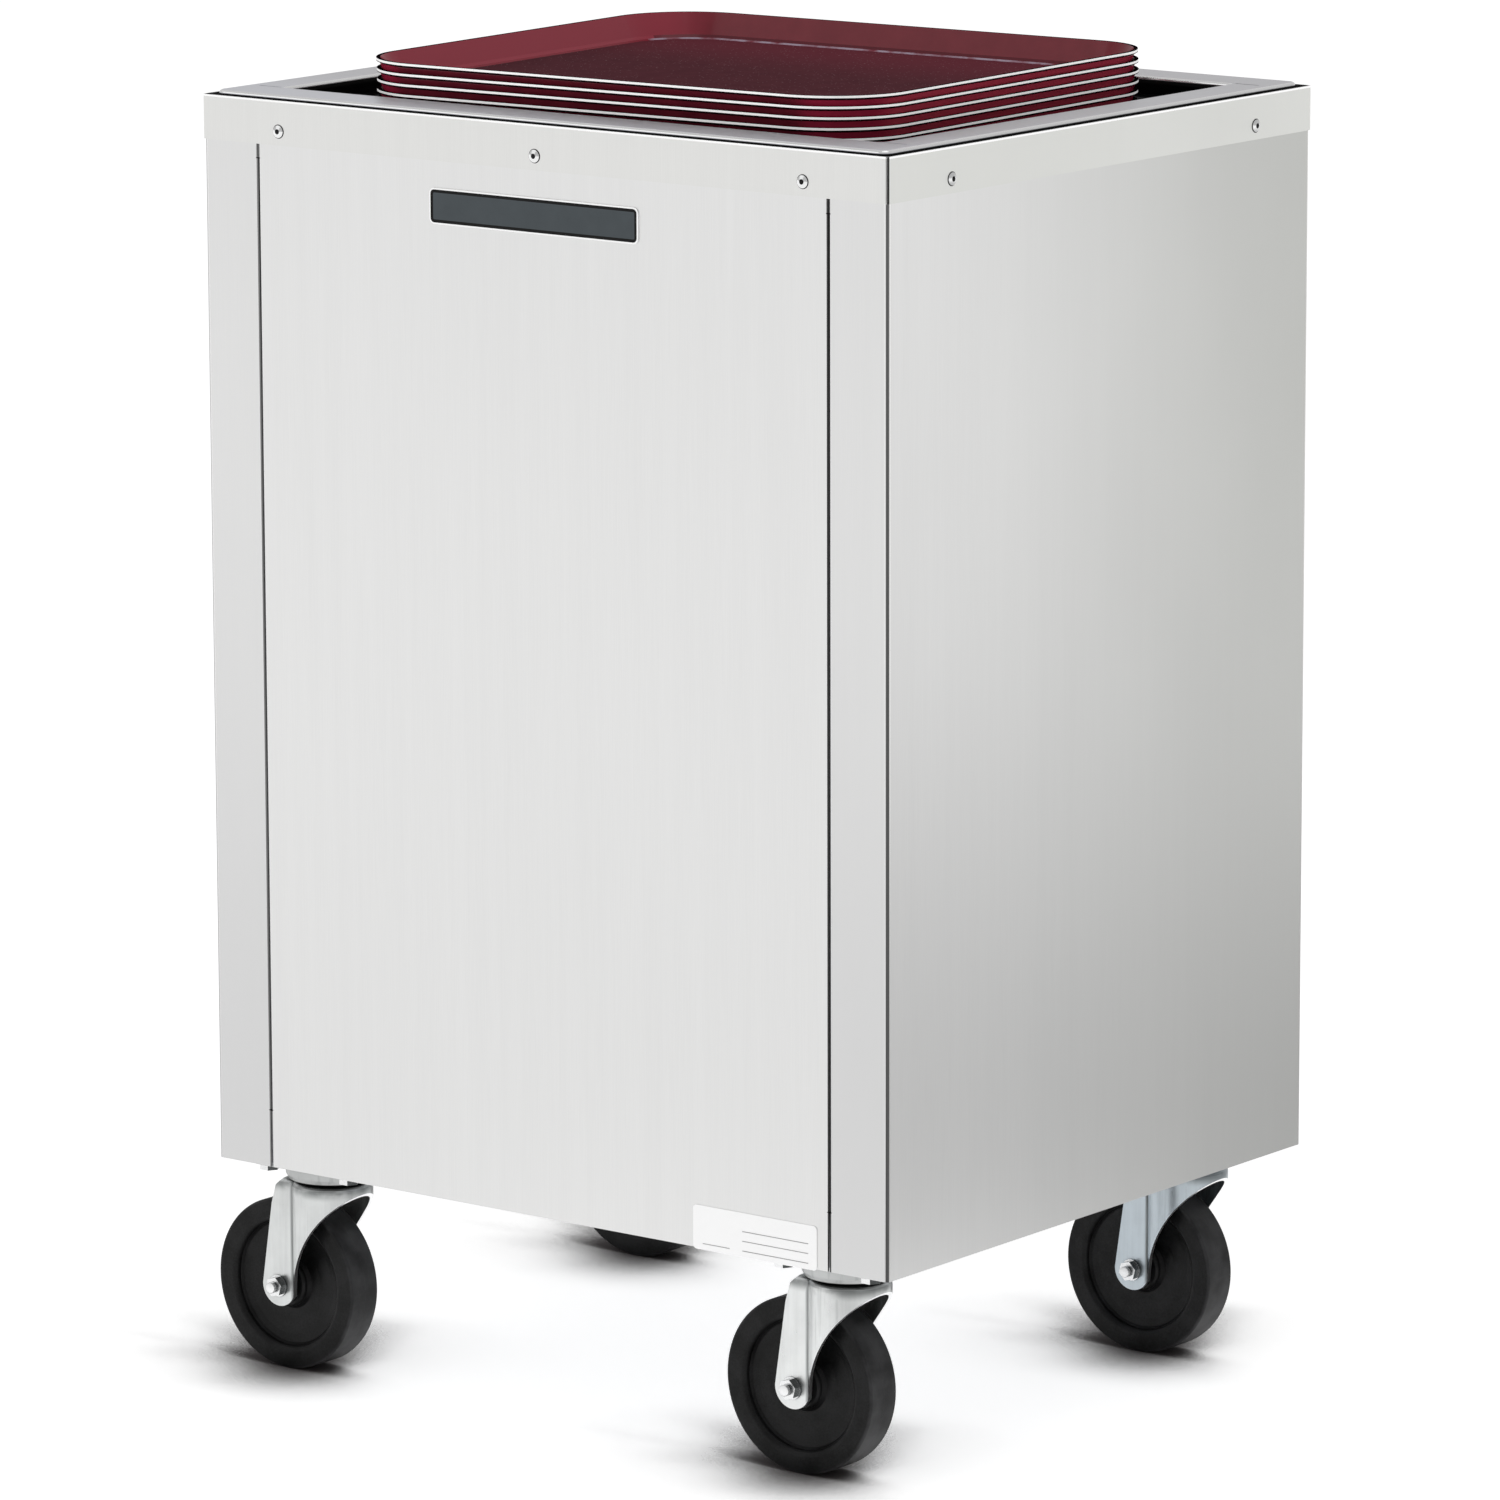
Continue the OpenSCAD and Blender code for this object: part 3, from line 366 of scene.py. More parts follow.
def plate(name, x, z, width, height, corner, rings, *materials):
    """A thin plate on the front panel with rounded corners.
    Its rings are (inset, how far it stands out, finish outside the ring), from the panel to the face."""
    mesh = bmesh.new()
    made = []
    for inset, stand, finish in rings:
        radius = max(corner - inset, LEAST_CORNER)
        ring = []
        for quarter, (side, rise) in enumerate(((1, 1), (-1, 1), (-1, -1), (1, -1))):
            for step in range(CORNER_STEPS + 1):
                turn = math.radians(90 * (quarter + step / CORNER_STEPS))
                ring.append(mesh.verts.new((
                    middle_x + x + side * (width / 2 - inset - radius) + radius * math.cos(turn),
                    cab_low.y - stand,
                    z + rise * (height / 2 - inset - radius) + radius * math.sin(turn))))
        if made:
            for k in range(len(ring)):
                onward = (k + 1) % len(ring)
                quad = (made[-1][k], made[-1][onward], ring[onward], ring[k])
                mesh.faces.new(quad).material_index = finish
        made.append(ring)
    mesh.faces.new(made[-1]).material_index = rings[-1][2]
    mesh.faces.new(list(reversed(made[0])))
    add_piece(name, mesh, "cabinet", "aluminium_rivet", *materials)


badge_rim, shade = new_finish("badge rim", Metallic=0.9)
wear = shade.place().noise(600.0, 3.0)
wear.mix((0.93, 0.93, 0.93, 1), (0.99, 0.99, 0.99, 1)).feeds("Base Color")
(wear * 0.2 + 0.2).feeds("Roughness")
badge_black, shade = new_finish("badge black", Specular_IOR_Level=0.15)
dust = shade.place().noise(70.0, 4.0)
dust.mix((0.002, 0.002, 0.002, 1), (0.006, 0.006, 0.006, 1)).feeds("Base Color")
(dust * 0.15 + 0.3).feeds("Roughness")
badge_slate, shade = new_finish("badge slate", Specular_IOR_Level=0.2)
dust = shade.place().noise(70.0, 4.0)
dust.mix((0.062, 0.074, 0.082, 1), (0.085, 0.100, 0.110, 1)).feeds("Base Color")
(dust * 0.2 + 0.35).feeds("Roughness")
enamel_stand = BADGE_STAND - EDGE
badge_rings = [
    (0, 0, 0), (0, BADGE_STAND * 0.7, 0), (EDGE, BADGE_STAND, 0), (RIM_W, BADGE_STAND, 0),
    (RIM_W + HAIR, enamel_stand, 1), (BORDER_IN, enamel_stand, 1), (BORDER_IN + EDGE, enamel_stand, 2)]
plate("badge_plate", BADGE_X, BADGE_Z, BADGE_W, BADGE_H, BADGE_CORNER, badge_rings,
      badge_rim, badge_black, badge_slate)


# A rating plate of pale foil is stuck on low down, near the right-hand seam. It is blank but for ruled lines,
# which are printed on it in ink that has faded.

LABEL_W = 0.109
LABEL_H = 0.032
LABEL_X = 0.1895
LABEL_Z = 0.176
LABEL_CORNER = 0.003
LABEL_STAND = 0.0005
RULE_H = 0.0006
RULES = ((0.018, 0.0025, 0.058), (0.018, -0.0045, 0.058), (0.018, -0.0115, 0.058), (-0.034, -0.0115, 0.024))

label_skin, shade = new_finish("blank rating plate", Metallic=0.85)
wear = shade.place().noise(120.0, 4.0)
wear.mix((0.95, 0.95, 0.95, 1), (1, 1, 1, 1)).feeds("Base Color")
(wear * 0.2 + 0.3).feeds("Roughness")
plate("rating_plate", LABEL_X, LABEL_Z, LABEL_W, LABEL_H, LABEL_CORNER,
      [(0, 0, 0), (0, LABEL_STAND - HAIR, 0), (EDGE, LABEL_STAND, 0)], label_skin)
label_ink, shade = new_finish("faded label ink", Specular_IOR_Level=0.3, Roughness=0.5)
shade.place().noise(900.0, 4.0).mix((0.35, 0.35, 0.35, 1), (0.75, 0.75, 0.75, 1)).feeds("Base Color")
rule_rings = [(0, LABEL_STAND - HAIR, 0), (0, LABEL_STAND + HAIR / 2, 0), (HAIR, LABEL_STAND + HAIR, 0)]
for k, (x, rise, length) in enumerate(RULES):
    plate("rating_plate_rule_%d" % (k + 1), LABEL_X + x, LABEL_Z + rise, length, RULE_H, RULE_H / 2,
          rule_rings, label_ink)


# The deck is one stainless sheet, a little duller than the panels and painted brighter along its front as a
# painted reflection. The opening for the trays is cut out of it and its edges are bent down. Their bends are
# painted white as a painted highlight, and their lower parts are painted black as the shade of the gap
# between them and the band.

DECK_DULL_Y, DECK_BRIGHT_Y = 0.1, 0.24
DECK_EDGE = 0.0020
DECK_GAP = 0.0026

deck_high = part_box("top_deck")[1]
material, place, skin, rough = brushed_stainless("brushed stainless deck", (0.75, 0.745, 0.77), "x", 0.42)
# Painted reflection: the deck is painted brighter and bluer along its front.
skin = (-1 * place.axis("Y")).between(DECK_DULL_Y, DECK_BRIGHT_Y).mix(skin, (0.81, 0.815, 0.86, 1))
# Painted shade: the deck's bent edges are painted black a little below its top, as the shade of the gap.
below = (deck_high.z - place.axis("Z")).between(DECK_EDGE, DECK_GAP)
rise = place.facing().axis("Z")
# Painted highlight: the bends of the deck are painted white.
bend = (rise > 0.3) * (rise < 0.97)
below.mix(bend.mix(skin, (1, 1, 1, 1)), (0.02, 0.02, 0.02, 1)).feeds("Base Color")
(rough + below * 0.2 - bend * 0.2).feeds("Roughness")
coat(material, "top_deck")


# The parts inside are galvanised steel, pressed or bent and spot-welded: top frame, base pan, caster pads,
# rails, spring hangers and the carriage's plates and bars.

galvanised, shade = new_finish("galvanised steel", Metallic=1.0)
place = shade.place()
spangle = place.node("TexVoronoi", inputs={"Vector": place, "Scale": 140.0}, out="Color")
spangle = spangle.node("RGBToBW", inputs={0: spangle})
painted_rim_shade = place.noise(9.0, 4.0)
bright = (spangle * 0.5 + painted_rim_shade * 0.5).mix((0.45, 0.46, 0.48, 1), (0.66, 0.67, 0.69, 1))
# Painted shade: the galvanised parts are painted darker high up, under the top frame.
painted_shade = (spangle * 0.5 + painted_rim_shade * 0.5).mix((0.20, 0.205, 0.215, 1), (0.36, 0.37, 0.38, 1))
place.axis("Z").between(INSIDE_PALE_Z, INSIDE_DARK_Z).mix(bright, painted_shade).feeds("Base Color")
(spangle * 0.2 + painted_rim_shade * 0.25 + 0.25).feeds("Roughness")
spangle.bump(0.00002, 0.3).feeds("Normal")
coat(galvanised, "top_frame", "base_pan", "caster_pads", "left_rail", "right_rail", "spring_hangers",
     "left_side_plate", "right_side_plate", "crossbars")


# The tray platform is a stainless pan turned upside down over the crossbars. It is bent from one sheet,
# and its edges are notched for the bars.

material, place, skin, rough = brushed_stainless("stainless platform", (0.68, 0.68, 0.67), "x", 0.34)
skin.feeds("Base Color")
rough.feeds("Roughness")
coat(material, "tray_platform")


# Buffers of moulded rubber stand on the base pan and stop the carriage at the bottom.
# They are dull, and dust lies in the pores of the rubber.

bumper_rubber, shade = new_finish("bumper rubber", Specular_IOR_Level=0.3)
dust = shade.place().noise(160.0, 4.0)
dust.mix((0.012, 0.012, 0.012, 1), (0.05, 0.05, 0.048, 1)).feeds("Base Color")
(dust * 0.25 + 0.6).feeds("Roughness")
dust.bump(0.0001, 0.5).feeds("Normal")
coat(bumper_rubber, "stop_bumpers")


# The guide rollers are turned nylon, running on zinc-plated pins. The fine rings of the lathe tool
# are left on them.

nylon, shade = new_finish("turned nylon", Subsurface_Weight=0.1)
turning = shade.place().stretched(1500, 60, 60).noise()
turning.mix((0.72, 0.70, 0.62, 1), (0.85, 0.84, 0.78, 1)).feeds("Base Color")
(turning * 0.2 + 0.35).feeds("Roughness")
turning.bump(0.00005, 0.4).feeds("Normal")
coat(nylon, "left_upper_roller", "left_lower_roller", "right_upper_roller", "right_lower_roller")


# Eight extension springs pull the carriage up. Each is close-wound wire with a hook loop at both ends.
# The top loop hangs in a hanger and the lower one in a side plate's foot.

WIRE = 0.0018
WIRE_SIDES = 6
COIL_PITCH = 0.0034
COIL_STEPS = 14
END_COIL = 0.3
HOOK = 0.0065
HOOK_STEPS = 12
HOOK_SWEEP = 330

spring_wire, shade = new_finish("oiled spring wire", Metallic=1.0)
draw = shade.place().noise(700.0, 3.0)
draw.mix((0.20, 0.20, 0.21, 1), (0.42, 0.42, 0.43, 1)).feeds("Base Color")
(draw * 0.2 + 0.25).feeds("Roughness")


def tube(mesh, path, radius, sides):
    """Sweeps a round wire along a list of points."""
    rings = []
    normal = Vector((0, 1, 0))
    for k, point in enumerate(path):
        ahead = path[min(k + 1, len(path) - 1)] - path[max(k - 1, 0)]
        ahead.normalize()
        normal = (normal - ahead * normal.dot(ahead)).normalized()
        across = ahead.cross(normal)
        ring = []
        for s in range(sides):
            turn = 2 * math.pi * s / sides
            ring.append(mesh.verts.new(point + (normal * math.cos(turn) + across * math.sin(turn)) * radius))
        rings.append(ring)
    for a, b in zip(rings, rings[1:]):
        for s in range(sides):
            mesh.faces.new((a[s], a[(s + 1) % sides], b[(s + 1) % sides], b[s])).smooth = True
    mesh.faces.new(list(reversed(rings[0])))
    mesh.faces.new(rings[-1])


def hook(middle, height, up, start):
    """A loop round a point of the spring's axis, from a start in degrees.
    up is 1 for the top hook and -1 for the lower one."""
    path = []
    for k in range(HOOK_STEPS + 1):
        turn = math.radians(start + HOOK_SWEEP * k / HOOK_STEPS)
        path.append(middle + Vector((HOOK * math.sin(turn), 0, height + up * HOOK * math.cos(turn))))
    return path


def spring_path(middle, low, high, outer):
    """One wire: the lower hook's loop, the coils, which narrow at their ends, and the upper hook's loop."""
    coil = outer / 2 - WIRE / 2
    coils_low = low + 2 * HOOK
    coils_high = high - 2 * HOOK
    steps = round((coils_high - coils_low) / COIL_PITCH) * COIL_STEPS
    path = hook(middle, low + HOOK, -1, -150)
    for k in range(1, steps):
        turn = 2 * math.pi * k / COIL_STEPS
        radius = coil * min(1, END_COIL + (1 - END_COIL) * min(k, steps - k) / COIL_STEPS)
        height = coils_low + (coils_high - coils_low) * k / steps
        path.append(middle + Vector((radius * math.sin(turn), radius * math.cos(turn), height)))
    return path + hook(middle, high - HOOK, 1, -180)


for node in ("left_front_springs", "left_back_springs", "right_front_springs", "right_back_springs"):
    low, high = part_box(node)
    outer = high.x - low.x
    mesh = bmesh.new()
    for y in (low.y + outer / 2, high.y - outer / 2):
        middle = Vector(((low.x + high.x) / 2, y, 0))
        path = spring_path(middle, low.z + WIRE / 2, high.z - WIRE / 2, outer)
        tube(mesh, path, WIRE / 2, WIRE_SIDES)
    spring = new_object(node + "_wire", mesh, spring_wire)
    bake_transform(spring)
    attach(spring, "cabinet")
    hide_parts(node)


# The trays are moulded laminate: burgundy with fine specks, glossy on the walls and dull on the floor.
# Each rim's flat edge is polished to the pale core, which also glows faintly as painted light. The dark lines
# above and below it, and the rest of the edge below the pale core, are painted shade.

RIM_T = 0.0022
RIM_IN = 0.038
PALE_LINE = 0.0016
RIM_SHADE_LINE = 0.0010
RIM_TOP = 0.0002
ROUNDING = 0.00001
REDDER_FRONT_Y, REDDER_BACK_Y = 0.02, 0.19

tray_low, tray_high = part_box("top_tray")
pitch = tray_high.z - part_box("tray_stack")[1].z
flat_half_w = (tray_high.x - tray_low.x) / 2 - RIM_IN
flat_half_d = (tray_high.y - tray_low.y) / 2 - RIM_IN
for node in ("tray_stack", "top_tray"):
    tray_plastic, shade = new_finish(node + " speckled burgundy laminate", Specular_IOR_Level=0.0,
                                     Coat_Roughness=0.15, Emission_Strength=1.0)
    place = shade.place()
    facing = shade.facing()
    below_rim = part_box(node)[1].z + ROUNDING - place.axis("Z")
    if node == "tray_stack":
        below_rim = below_rim.math("MODULO", below_rim, pitch)
    rise = facing.axis("Z")
    near_rim = 1 - (abs(place.axis("X") - middle_x) < flat_half_w) * (abs(place.axis("Y")) < flat_half_d)
    cut_edge = (abs(rise) < 0.08) * near_rim
    floor_face = abs(rise) > 0.97
    # Painted shade: a dark line on the rim's top beside its edge, and under the rim.
    rim_top = floor_face * (below_rim < RIM_TOP) * near_rim
    under_rim = (rise < -0.08) * (below_rim < RIM_T + RIM_SHADE_LINE) * (below_rim > RIM_T - HAIR)
    painted_rim_shade = rim_top | under_rim
    mottle = place.noise(60.0, 3.0)
    # Painted light and shade: walls facing right and the corners are painted lighter, and the outer walls,
    # which face down, darker than the inner ones.
    corner = abs(facing.axis("X") * facing.axis("Y")).between(0.05, 0.35)
    rightwards = facing.axis("X").between(0.2, 0.8)
    outer_wall = mottle.mix((0.12, 0.010, 0.022, 1), (0.24, 0.024, 0.042, 1))
    outer_wall = corner.mix(rightwards.mix(outer_wall, (0.60, 0.060, 0.105, 1)), (0.46, 0.026, 0.070, 1))
    inner_wall = mottle.mix((0.20, 0.015, 0.028, 1), (0.29, 0.030, 0.048, 1))
    inner_wall = rightwards.mix(inner_wall, (0.42, 0.048, 0.078, 1))
    floor = mottle.mix((0.088, 0.030, 0.038, 1), (0.125, 0.041, 0.051, 1))
    redder = place.axis("Y").between(REDDER_FRONT_Y, REDDER_BACK_Y) * 0.6
    floor = redder.mix(floor, (0.20, 0.040, 0.058, 1))
    specks = place.node("TexVoronoi", inputs={"Vector": place, "Scale": 260.0})
    speck = (specks < 0.13) * floor_face * 0.5
    # Painted shade: a dark line along the foot of the walls.
    foot = (rise > 0.5) * (rise < 0.75) * (abs(facing.axis("Y")) > 0.3) * 0.6
    # Painted highlight: a pale mauve line along the cove at the back of the floor.
    painted_cove_highlight = (rise > 0.85) * (rise < 0.96) * (facing.axis("Y") < -0.1)
    wall = foot.mix((rise < -0.08).mix(inner_wall, outer_wall), (0.07, 0.010, 0.018, 1))
    skin = (painted_cove_highlight * mottle.between(0.3, 0.6)).mix(floor_face.mix(wall, floor), (0.50, 0.40, 0.50, 1))
    skin = painted_rim_shade.mix(speck.mix(skin, (0.45, 0.30, 0.32, 1)), (0.006, 0.003, 0.004, 1))
    # The pale line is the laminate's core and also glows as painted light; the rest of the vertical edge is
    # painted black as shade.
    pale = below_rim < PALE_LINE
    cut_edge.mix(skin, pale.mix((0.02, 0.006, 0.008, 1), (0.98, 0.97, 0.96, 1))).feeds("Base Color")
    (cut_edge * 0.4).feeds("Metallic")
    (cut_edge * pale * 0.25).mix((0, 0, 0, 1), (1, 1, 1, 1)).feeds("Emission Color")
    (mottle * 0.08 + floor_face * 0.2 + cut_edge * 0.05 + 0.3).feeds("Roughness")
    (0.6 - (cut_edge + floor_face) * 0.6 - painted_rim_shade * 0.6 * (1 - floor_face)).feeds("Coat Weight")
    place.noise(900.0).bump(0.00008, 0.25).feeds("Normal")
    coat(tray_plastic, node)


# The casters are bright zinc-plated pressings: top plate with the ball race, and the fork, with dark streaks
# on its skirt.
# Painted shade darkens the gap of the ball race, the underside of the crown, the creases and the corners
# round the axle's nut, and the fork's cut edge is painted white as a painted highlight. The top plate is a
# darker tone than the fork.
# Each caster has its own tone, the back right one darker and bluer as painted shade, and its own depth of
# painted shade in the creases.

# The back right caster's darker, bluer tone and deeper crease are painted shade.
CASTERS = {
    "front_left": ((0.73, 0.745, 0.74), 0.45),
    "front_right": ((0.81, 0.825, 0.82), 0.45),
    "back_left": ((0.81, 0.825, 0.82), 0.45),
    "back_right": ((0.55, 0.61, 0.65), 0.7)}
RACE_SHADE_H = 0.0022
CROWN_SHADE_FOOT, CROWN_SHADE_FULL, CROWN_SHADE_THIN, CROWN_SHADE_END = 0.012, 0.005, 0.004, 0.001
CREASE_X = -0.0204
CREASE_CORE, CREASE_W = 0.0004, 0.0028
CREVICE = 0.005

crown_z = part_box("front_left_fork")[1].z
for corner, (tone, crease_shade) in CASTERS.items():
    low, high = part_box(corner + "_kingpin")
    zinc, shade = new_finish(corner + " bright zinc plate", Metallic=1.0)
    place = shade.place()
    facing = shade.facing()
    blotch = place.noise(38.0, 4.0)
    pressing = place.stretched(260, 260, 12).noise(detail=3.0)
    height = place.axis("Z") - crown_z
    from_pin = place.axis("X") - (low.x + high.x) / 2
    # Painted shade: a near-black band in the ball race's gap, just above the crown.
    painted_race_shade = abs(height - RACE_SHADE_H / 2) < RACE_SHADE_H / 2
    # Painted shade: a blotchy dark band on the fork just under the crown.
    under_crown = height.between(-CROWN_SHADE_FOOT, -CROWN_SHADE_FULL) * (1 - height.between(-CROWN_SHADE_THIN, -CROWN_SHADE_END))
    painted_crown_shade = under_crown * blotch.between(0.35, 0.6)
    # Painted shade: a dark line down the crease between leg and skirt.
    crease = 1 - abs(from_pin - CREASE_X).between(CREASE_CORE, CREASE_W)
    # Painted shade in the corners, darker the more closed in the surface is.
    painted_crevice_shade = 1 - shade.open_air(CREVICE).between(0.3, 0.85)
    streaks = pressing.between(0.52, 0.68) * (from_pin > CREASE_X)
    darkening = painted_crown_shade * 0.7 | crease * (crease_shade + blotch * 0.5) | painted_crevice_shade * 0.85 | streaks * 0.22
    bright = (blotch * 0.6 + pressing * 0.4).between(0.3, 0.7).mix(scaled(tone, 0.82), scaled(tone, 1.0))
    plate_skin = (height > RACE_SHADE_H).mix(bright, scaled(tone, 0.62))
    # Painted highlight: the fork's cut edge, where it faces +X and down, is painted white.
    cut_edge = (facing.axis("X") > 0.15) * (facing.axis("Z") < -0.15) * (abs(facing.axis("Y")) < 0.4)
    toned = (cut_edge * (height < 0)).mix(darkening.mix(plate_skin, (0.13, 0.14, 0.14, 1)), (1, 1, 1, 1))
    painted_race_shade.mix(toned, (0.02, 0.02, 0.02, 1)).feeds("Base Color")
    (blotch * 0.2 + pressing * 0.1 + 0.16).feeds("Roughness")
    (blotch * 0.5 + pressing * 0.5).bump(0.0003, 0.2).feeds("Normal")
    coat(zinc, corner + "_plate", corner + "_fork")


# Kingpins, bushes, axle bolts, nuts and the other bolts are zinc-plated duller. Their right-hand flats and
# their corners are painted dark as painted shade, and each axle bolt's thread stands out of its nut with a
# bright end.

THREAD_R = 0.004
THREAD_PITCH = 0.00125
THREAD_TURNS = 2
CORNER_SHADE_REACH = 0.0014

bolt_end, shade = new_finish("bright bolt ends", Metallic=1.0)
wear = shade.place().noise(420.0, 4.0)
wear.mix((0.90, 0.91, 0.91, 1), (1, 1, 1, 1)).feeds("Base Color")
(wear * 0.1 + 0.4).feeds("Roughness")
hardware, shade = new_finish("zinc-plated hardware", Metallic=1.0)
wear = shade.place().noise(420.0, 4.0)
facing = shade.facing()
# Painted shade on the flats that face right and in the corners.
painted_flat_shade = (facing.axis("X") > 0.3) * (abs(facing.axis("Y")) < 0.6) * (0.85 + wear * 0.15)
darkening = painted_flat_shade | (1 - shade.open_air(CORNER_SHADE_REACH).between(0.2, 0.7)) * 0.6
darkening.mix(wear.mix((0.74, 0.75, 0.76, 1), (0.95, 0.95, 0.95, 1)), (0.035, 0.04, 0.04, 1)).feeds("Base Color")
(wear * 0.1 + 0.22).feeds("Roughness")
wear.bump(0.00002, 0.2).feeds("Normal")
coat(hardware, "caster_bolts", "carriage_bolts", "roller_pins")
thread = [(0, -3 * HAIR), (THREAD_R * 0.9, -3 * HAIR), (THREAD_R * 1.02, -HAIR)]
for k in range(THREAD_TURNS):
    start = HAIR + k * THREAD_PITCH
    thread += [(THREAD_R * 0.98, start), (THREAD_R * 1.02, start + THREAD_PITCH / 2)]
for corner in CASTERS:
    coat(hardware, *[corner + part for part in ("_kingpin", "_bush", "_axle", "_nut")])
    low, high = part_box(corner + "_axle")
    end = Vector(((low.x + high.x) / 2, low.y, (low.z + high.z) / 2))
    mesh = bmesh.new()
    turned(mesh, thread, end, (0, 1, 0), 32)
    add_piece(corner + "_thread", mesh, corner + "_swivel", "zinc_hardware", bolt_end)


# Each wheel is one moulding of hard black rubber, satin on the sides. The tread is greyed by dust and carries
# the fine line where the mould's halves met.

TREAD_START, TREAD_FULL = 0.0025, 0.0005
MOULD_LINE = 0.0004

for corner in CASTERS:
    low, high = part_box(corner + "_wheel")
    radius = (high.z - low.z) / 2
    rubber, shade = new_finish(corner + " wheel rubber", Specular_IOR_Level=0.17)
    place = shade.place()
    middle = tuple((low + high) / 2)
    from_middle = place.node("VectorMath", {"operation": "SUBTRACT"}, {0: place, 1: middle})
    x, y, z = from_middle.axis("X"), from_middle.axis("Y"), from_middle.axis("Z")
    out = (x * x + z * z) ** 0.5
    tread = out.between(radius - TREAD_START, radius - TREAD_FULL)
    mould_line = abs(y) < MOULD_LINE
    grain = place.noise(800.0, 3.0)
    dust = place.noise(45.0, 5.0)
    dusty = tread * (dust.between(0.3, 0.75) * 0.6 + 0.25)
    toned = (dust * 0.6 + grain * 0.4).between(0.35, 0.65)
    black = toned.mix((0.002, 0.002, 0.002, 1), (0.012, 0.012, 0.0125, 1))
    dusty.mix(black, (0.055, 0.055, 0.057, 1)).feeds("Base Color")
    (grain * 0.12 + tread * 0.15 + 0.3).feeds("Roughness")
    (grain * 0.3 + mould_line * tread).bump(0.0002, 0.35).feeds("Normal")
    coat(rubber, corner + "_wheel")


# The studio is a plain pale floor, soft light from all round and two weak soft boxes. Dark cards on the floor
# are hidden from the camera and darken what the steel mirrors, and the floor is shaded under the cart.
# The camera is at the photograph's angle, far off with a long lens.

AZIMUTH = math.radians(37.6)
ELEVATION = math.radians(11.09)
ROLL = math.radians(-0.17)
CAMERA_X, CAMERA_Y, CAMERA_Z = 3.80645, -4.9375, 1.6809
FILM_W = 36
LENS = 209.3
FARTHEST = 200
FLOOR_SIZE = 40
CARD_START, CARD_FULL, CARD_THIN, CARD_END = 0.4, 0.9, 1.3, 3.4
NEAR_CARD_START, NEAR_CARD_HALF_W, NEAR_CARD_EDGE = 0.5, 0.3, 0.7
BEHIND_LEAN, BEHIND_REACH = (0.80, -0.45, 0.40), 0.16
BEFORE_LEAN, BEFORE_REACH = (-0.35, 0.70, 0.62), 0.11
LIT_POINT = Vector((0, 0, 0.5))

studio = bpy.context.scene
studio.view_settings.view_transform = "Standard"


def card(outwards):
    """Where a dark card lies on the floor, that way from the cart: 1 in its middle and 0 outside it."""
    return outwards.between(CARD_START, CARD_FULL) * (1 - outwards.between(CARD_THIN, CARD_END))


paper, shade = new_finish("studio floor", Specular_IOR_Level=0.1, Roughness=0.9, Emission_Strength=0.65)
place = shade.place()
rightwards = place.axis("X") * math.cos(AZIMUTH) + place.axis("Y") * math.sin(AZIMUTH)
nearer = place.axis("X") * math.sin(AZIMUTH) - place.axis("Y") * math.cos(AZIMUTH)
near_card = nearer.between(NEAR_CARD_START, CARD_FULL)
near_card = near_card * (1 - abs(rightwards).between(NEAR_CARD_HALF_W, NEAR_CARD_EDGE))
mirrored = (1 - card(rightwards) * 0.85) * (1 - card(-1 * rightwards) * 0.22) * (1 - near_card * 0.9)
behind = shade.open_air(BEHIND_REACH, 8, BEHIND_LEAN)
before = shade.open_air(BEFORE_REACH, 6, BEFORE_LEAN)
unshaded = behind.between(0.70, 0.92) * before.between(0.45, 0.80)
seen = shade.node("LightPath", out="Is Camera Ray")
((seen + (1 - seen) * mirrored) * unshaded).mix((0, 0, 0, 1), (1, 1, 1, 1)).feeds("Emission Color")
white = place.noise(0.6).mix((0.80, 0.80, 0.80, 1), (0.82, 0.82, 0.82, 1))
unshaded.mix((0.10, 0.09, 0.09, 1), white).feeds("Base Color")
mesh = bmesh.new()
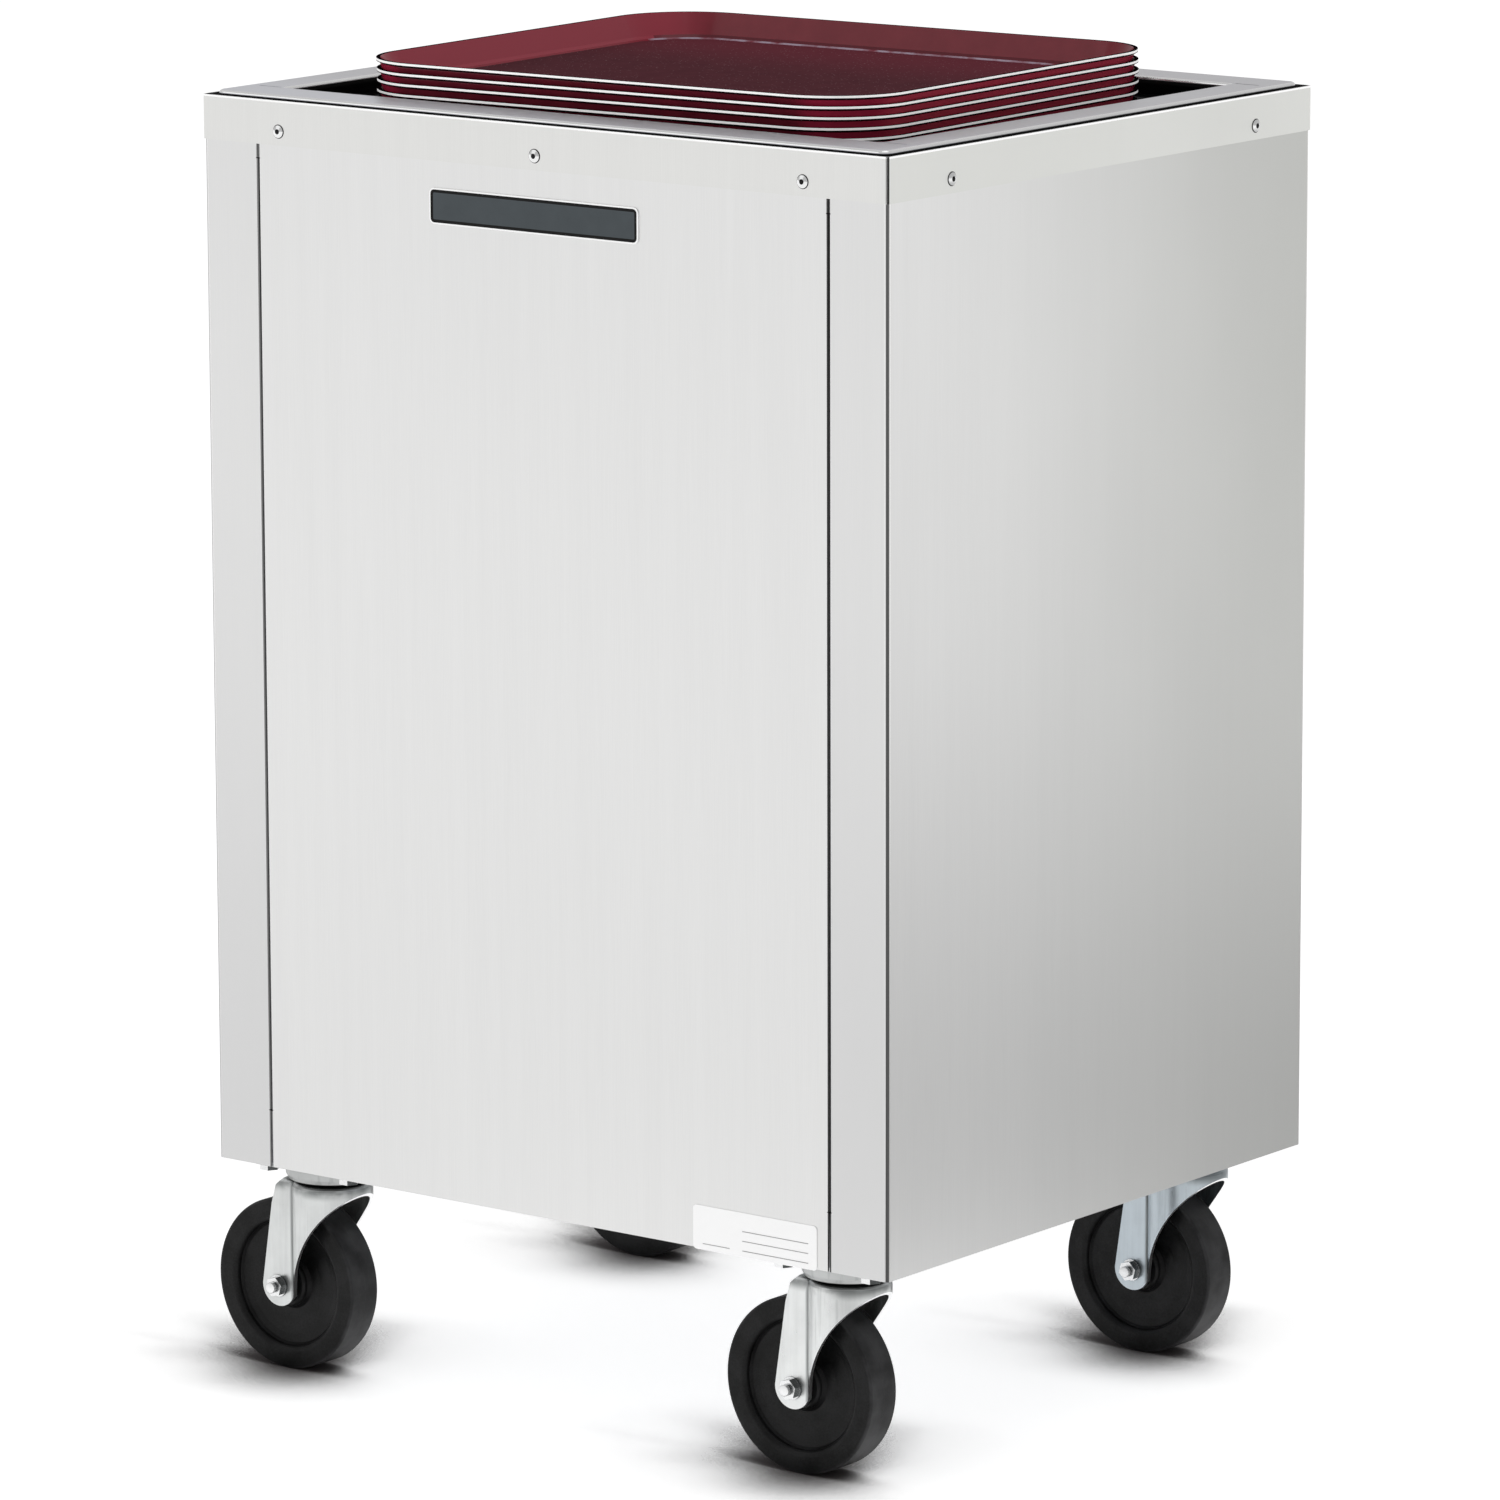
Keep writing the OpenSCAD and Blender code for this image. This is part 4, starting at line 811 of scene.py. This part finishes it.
bmesh.ops.create_grid(mesh, x_segments=8, y_segments=8, size=FLOOR_SIZE)
floor = new_object("studio_floor", mesh, paper)

studio.world = bpy.data.worlds.new("studio")
studio.world.use_nodes = True
way = Shade(studio.world.node_tree).node("TexCoord", out="Generated")
back_left = way.axis("Y") * 0.79 - way.axis("X") * 0.61
light = back_left.between(0.3, 0.95).mix((0.5, 0.5, 0.5, 1), (0.6, 0.6, 0.6, 1))
way.node("LightPath", out="Is Camera Ray").mix(light, (1, 1, 1, 1)).feeds("Color", "Background")


def away(azimuth, elevation):
    """The way from the cart out to that azimuth and elevation."""
    flat = math.cos(elevation)
    return Vector((math.sin(azimuth) * flat, -math.cos(azimuth) * flat, math.sin(elevation)))


def soft_box(name, azimuth, elevation, distance, size, power):
    """A square lamp that faces the middle of the cart, with its angles in degrees."""
    back = away(math.radians(azimuth), math.radians(elevation))
    lamp = bpy.data.lights.new(name, "AREA")
    lamp.shape = "SQUARE"
    lamp.size = size
    lamp.energy = power
    made = bpy.data.objects.new(name, lamp)
    made.location = LIT_POINT + back * distance
    made.rotation_mode = "QUATERNION"
    made.rotation_quaternion = (-back).to_track_quat("-Z", "Y")
    bpy.context.collection.objects.link(made)


soft_box("front_left_box", azimuth=-38, elevation=28, distance=4.0, size=2.6, power=10)
soft_box("top_box", azimuth=65, elevation=72, distance=3.5, size=2.4, power=10)

back = away(AZIMUTH, ELEVATION)
right = Vector((math.cos(AZIMUTH), math.sin(AZIMUTH), 0))
up = back.cross(right)
right, up = right * math.cos(ROLL) + up * math.sin(ROLL), up * math.cos(ROLL) - right * math.sin(ROLL)
lens = bpy.data.cameras.new("camera")
lens.sensor_width = FILM_W
lens.lens = LENS
lens.clip_end = FARTHEST
camera = bpy.data.objects.new("camera", lens)
camera.matrix_world = Matrix((
    (right.x, up.x, back.x, CAMERA_X),
    (right.y, up.y, back.y, CAMERA_Y),
    (right.z, up.z, back.z, CAMERA_Z),
    (0, 0, 0, 1)))
bpy.context.collection.objects.link(camera)
studio.camera = camera
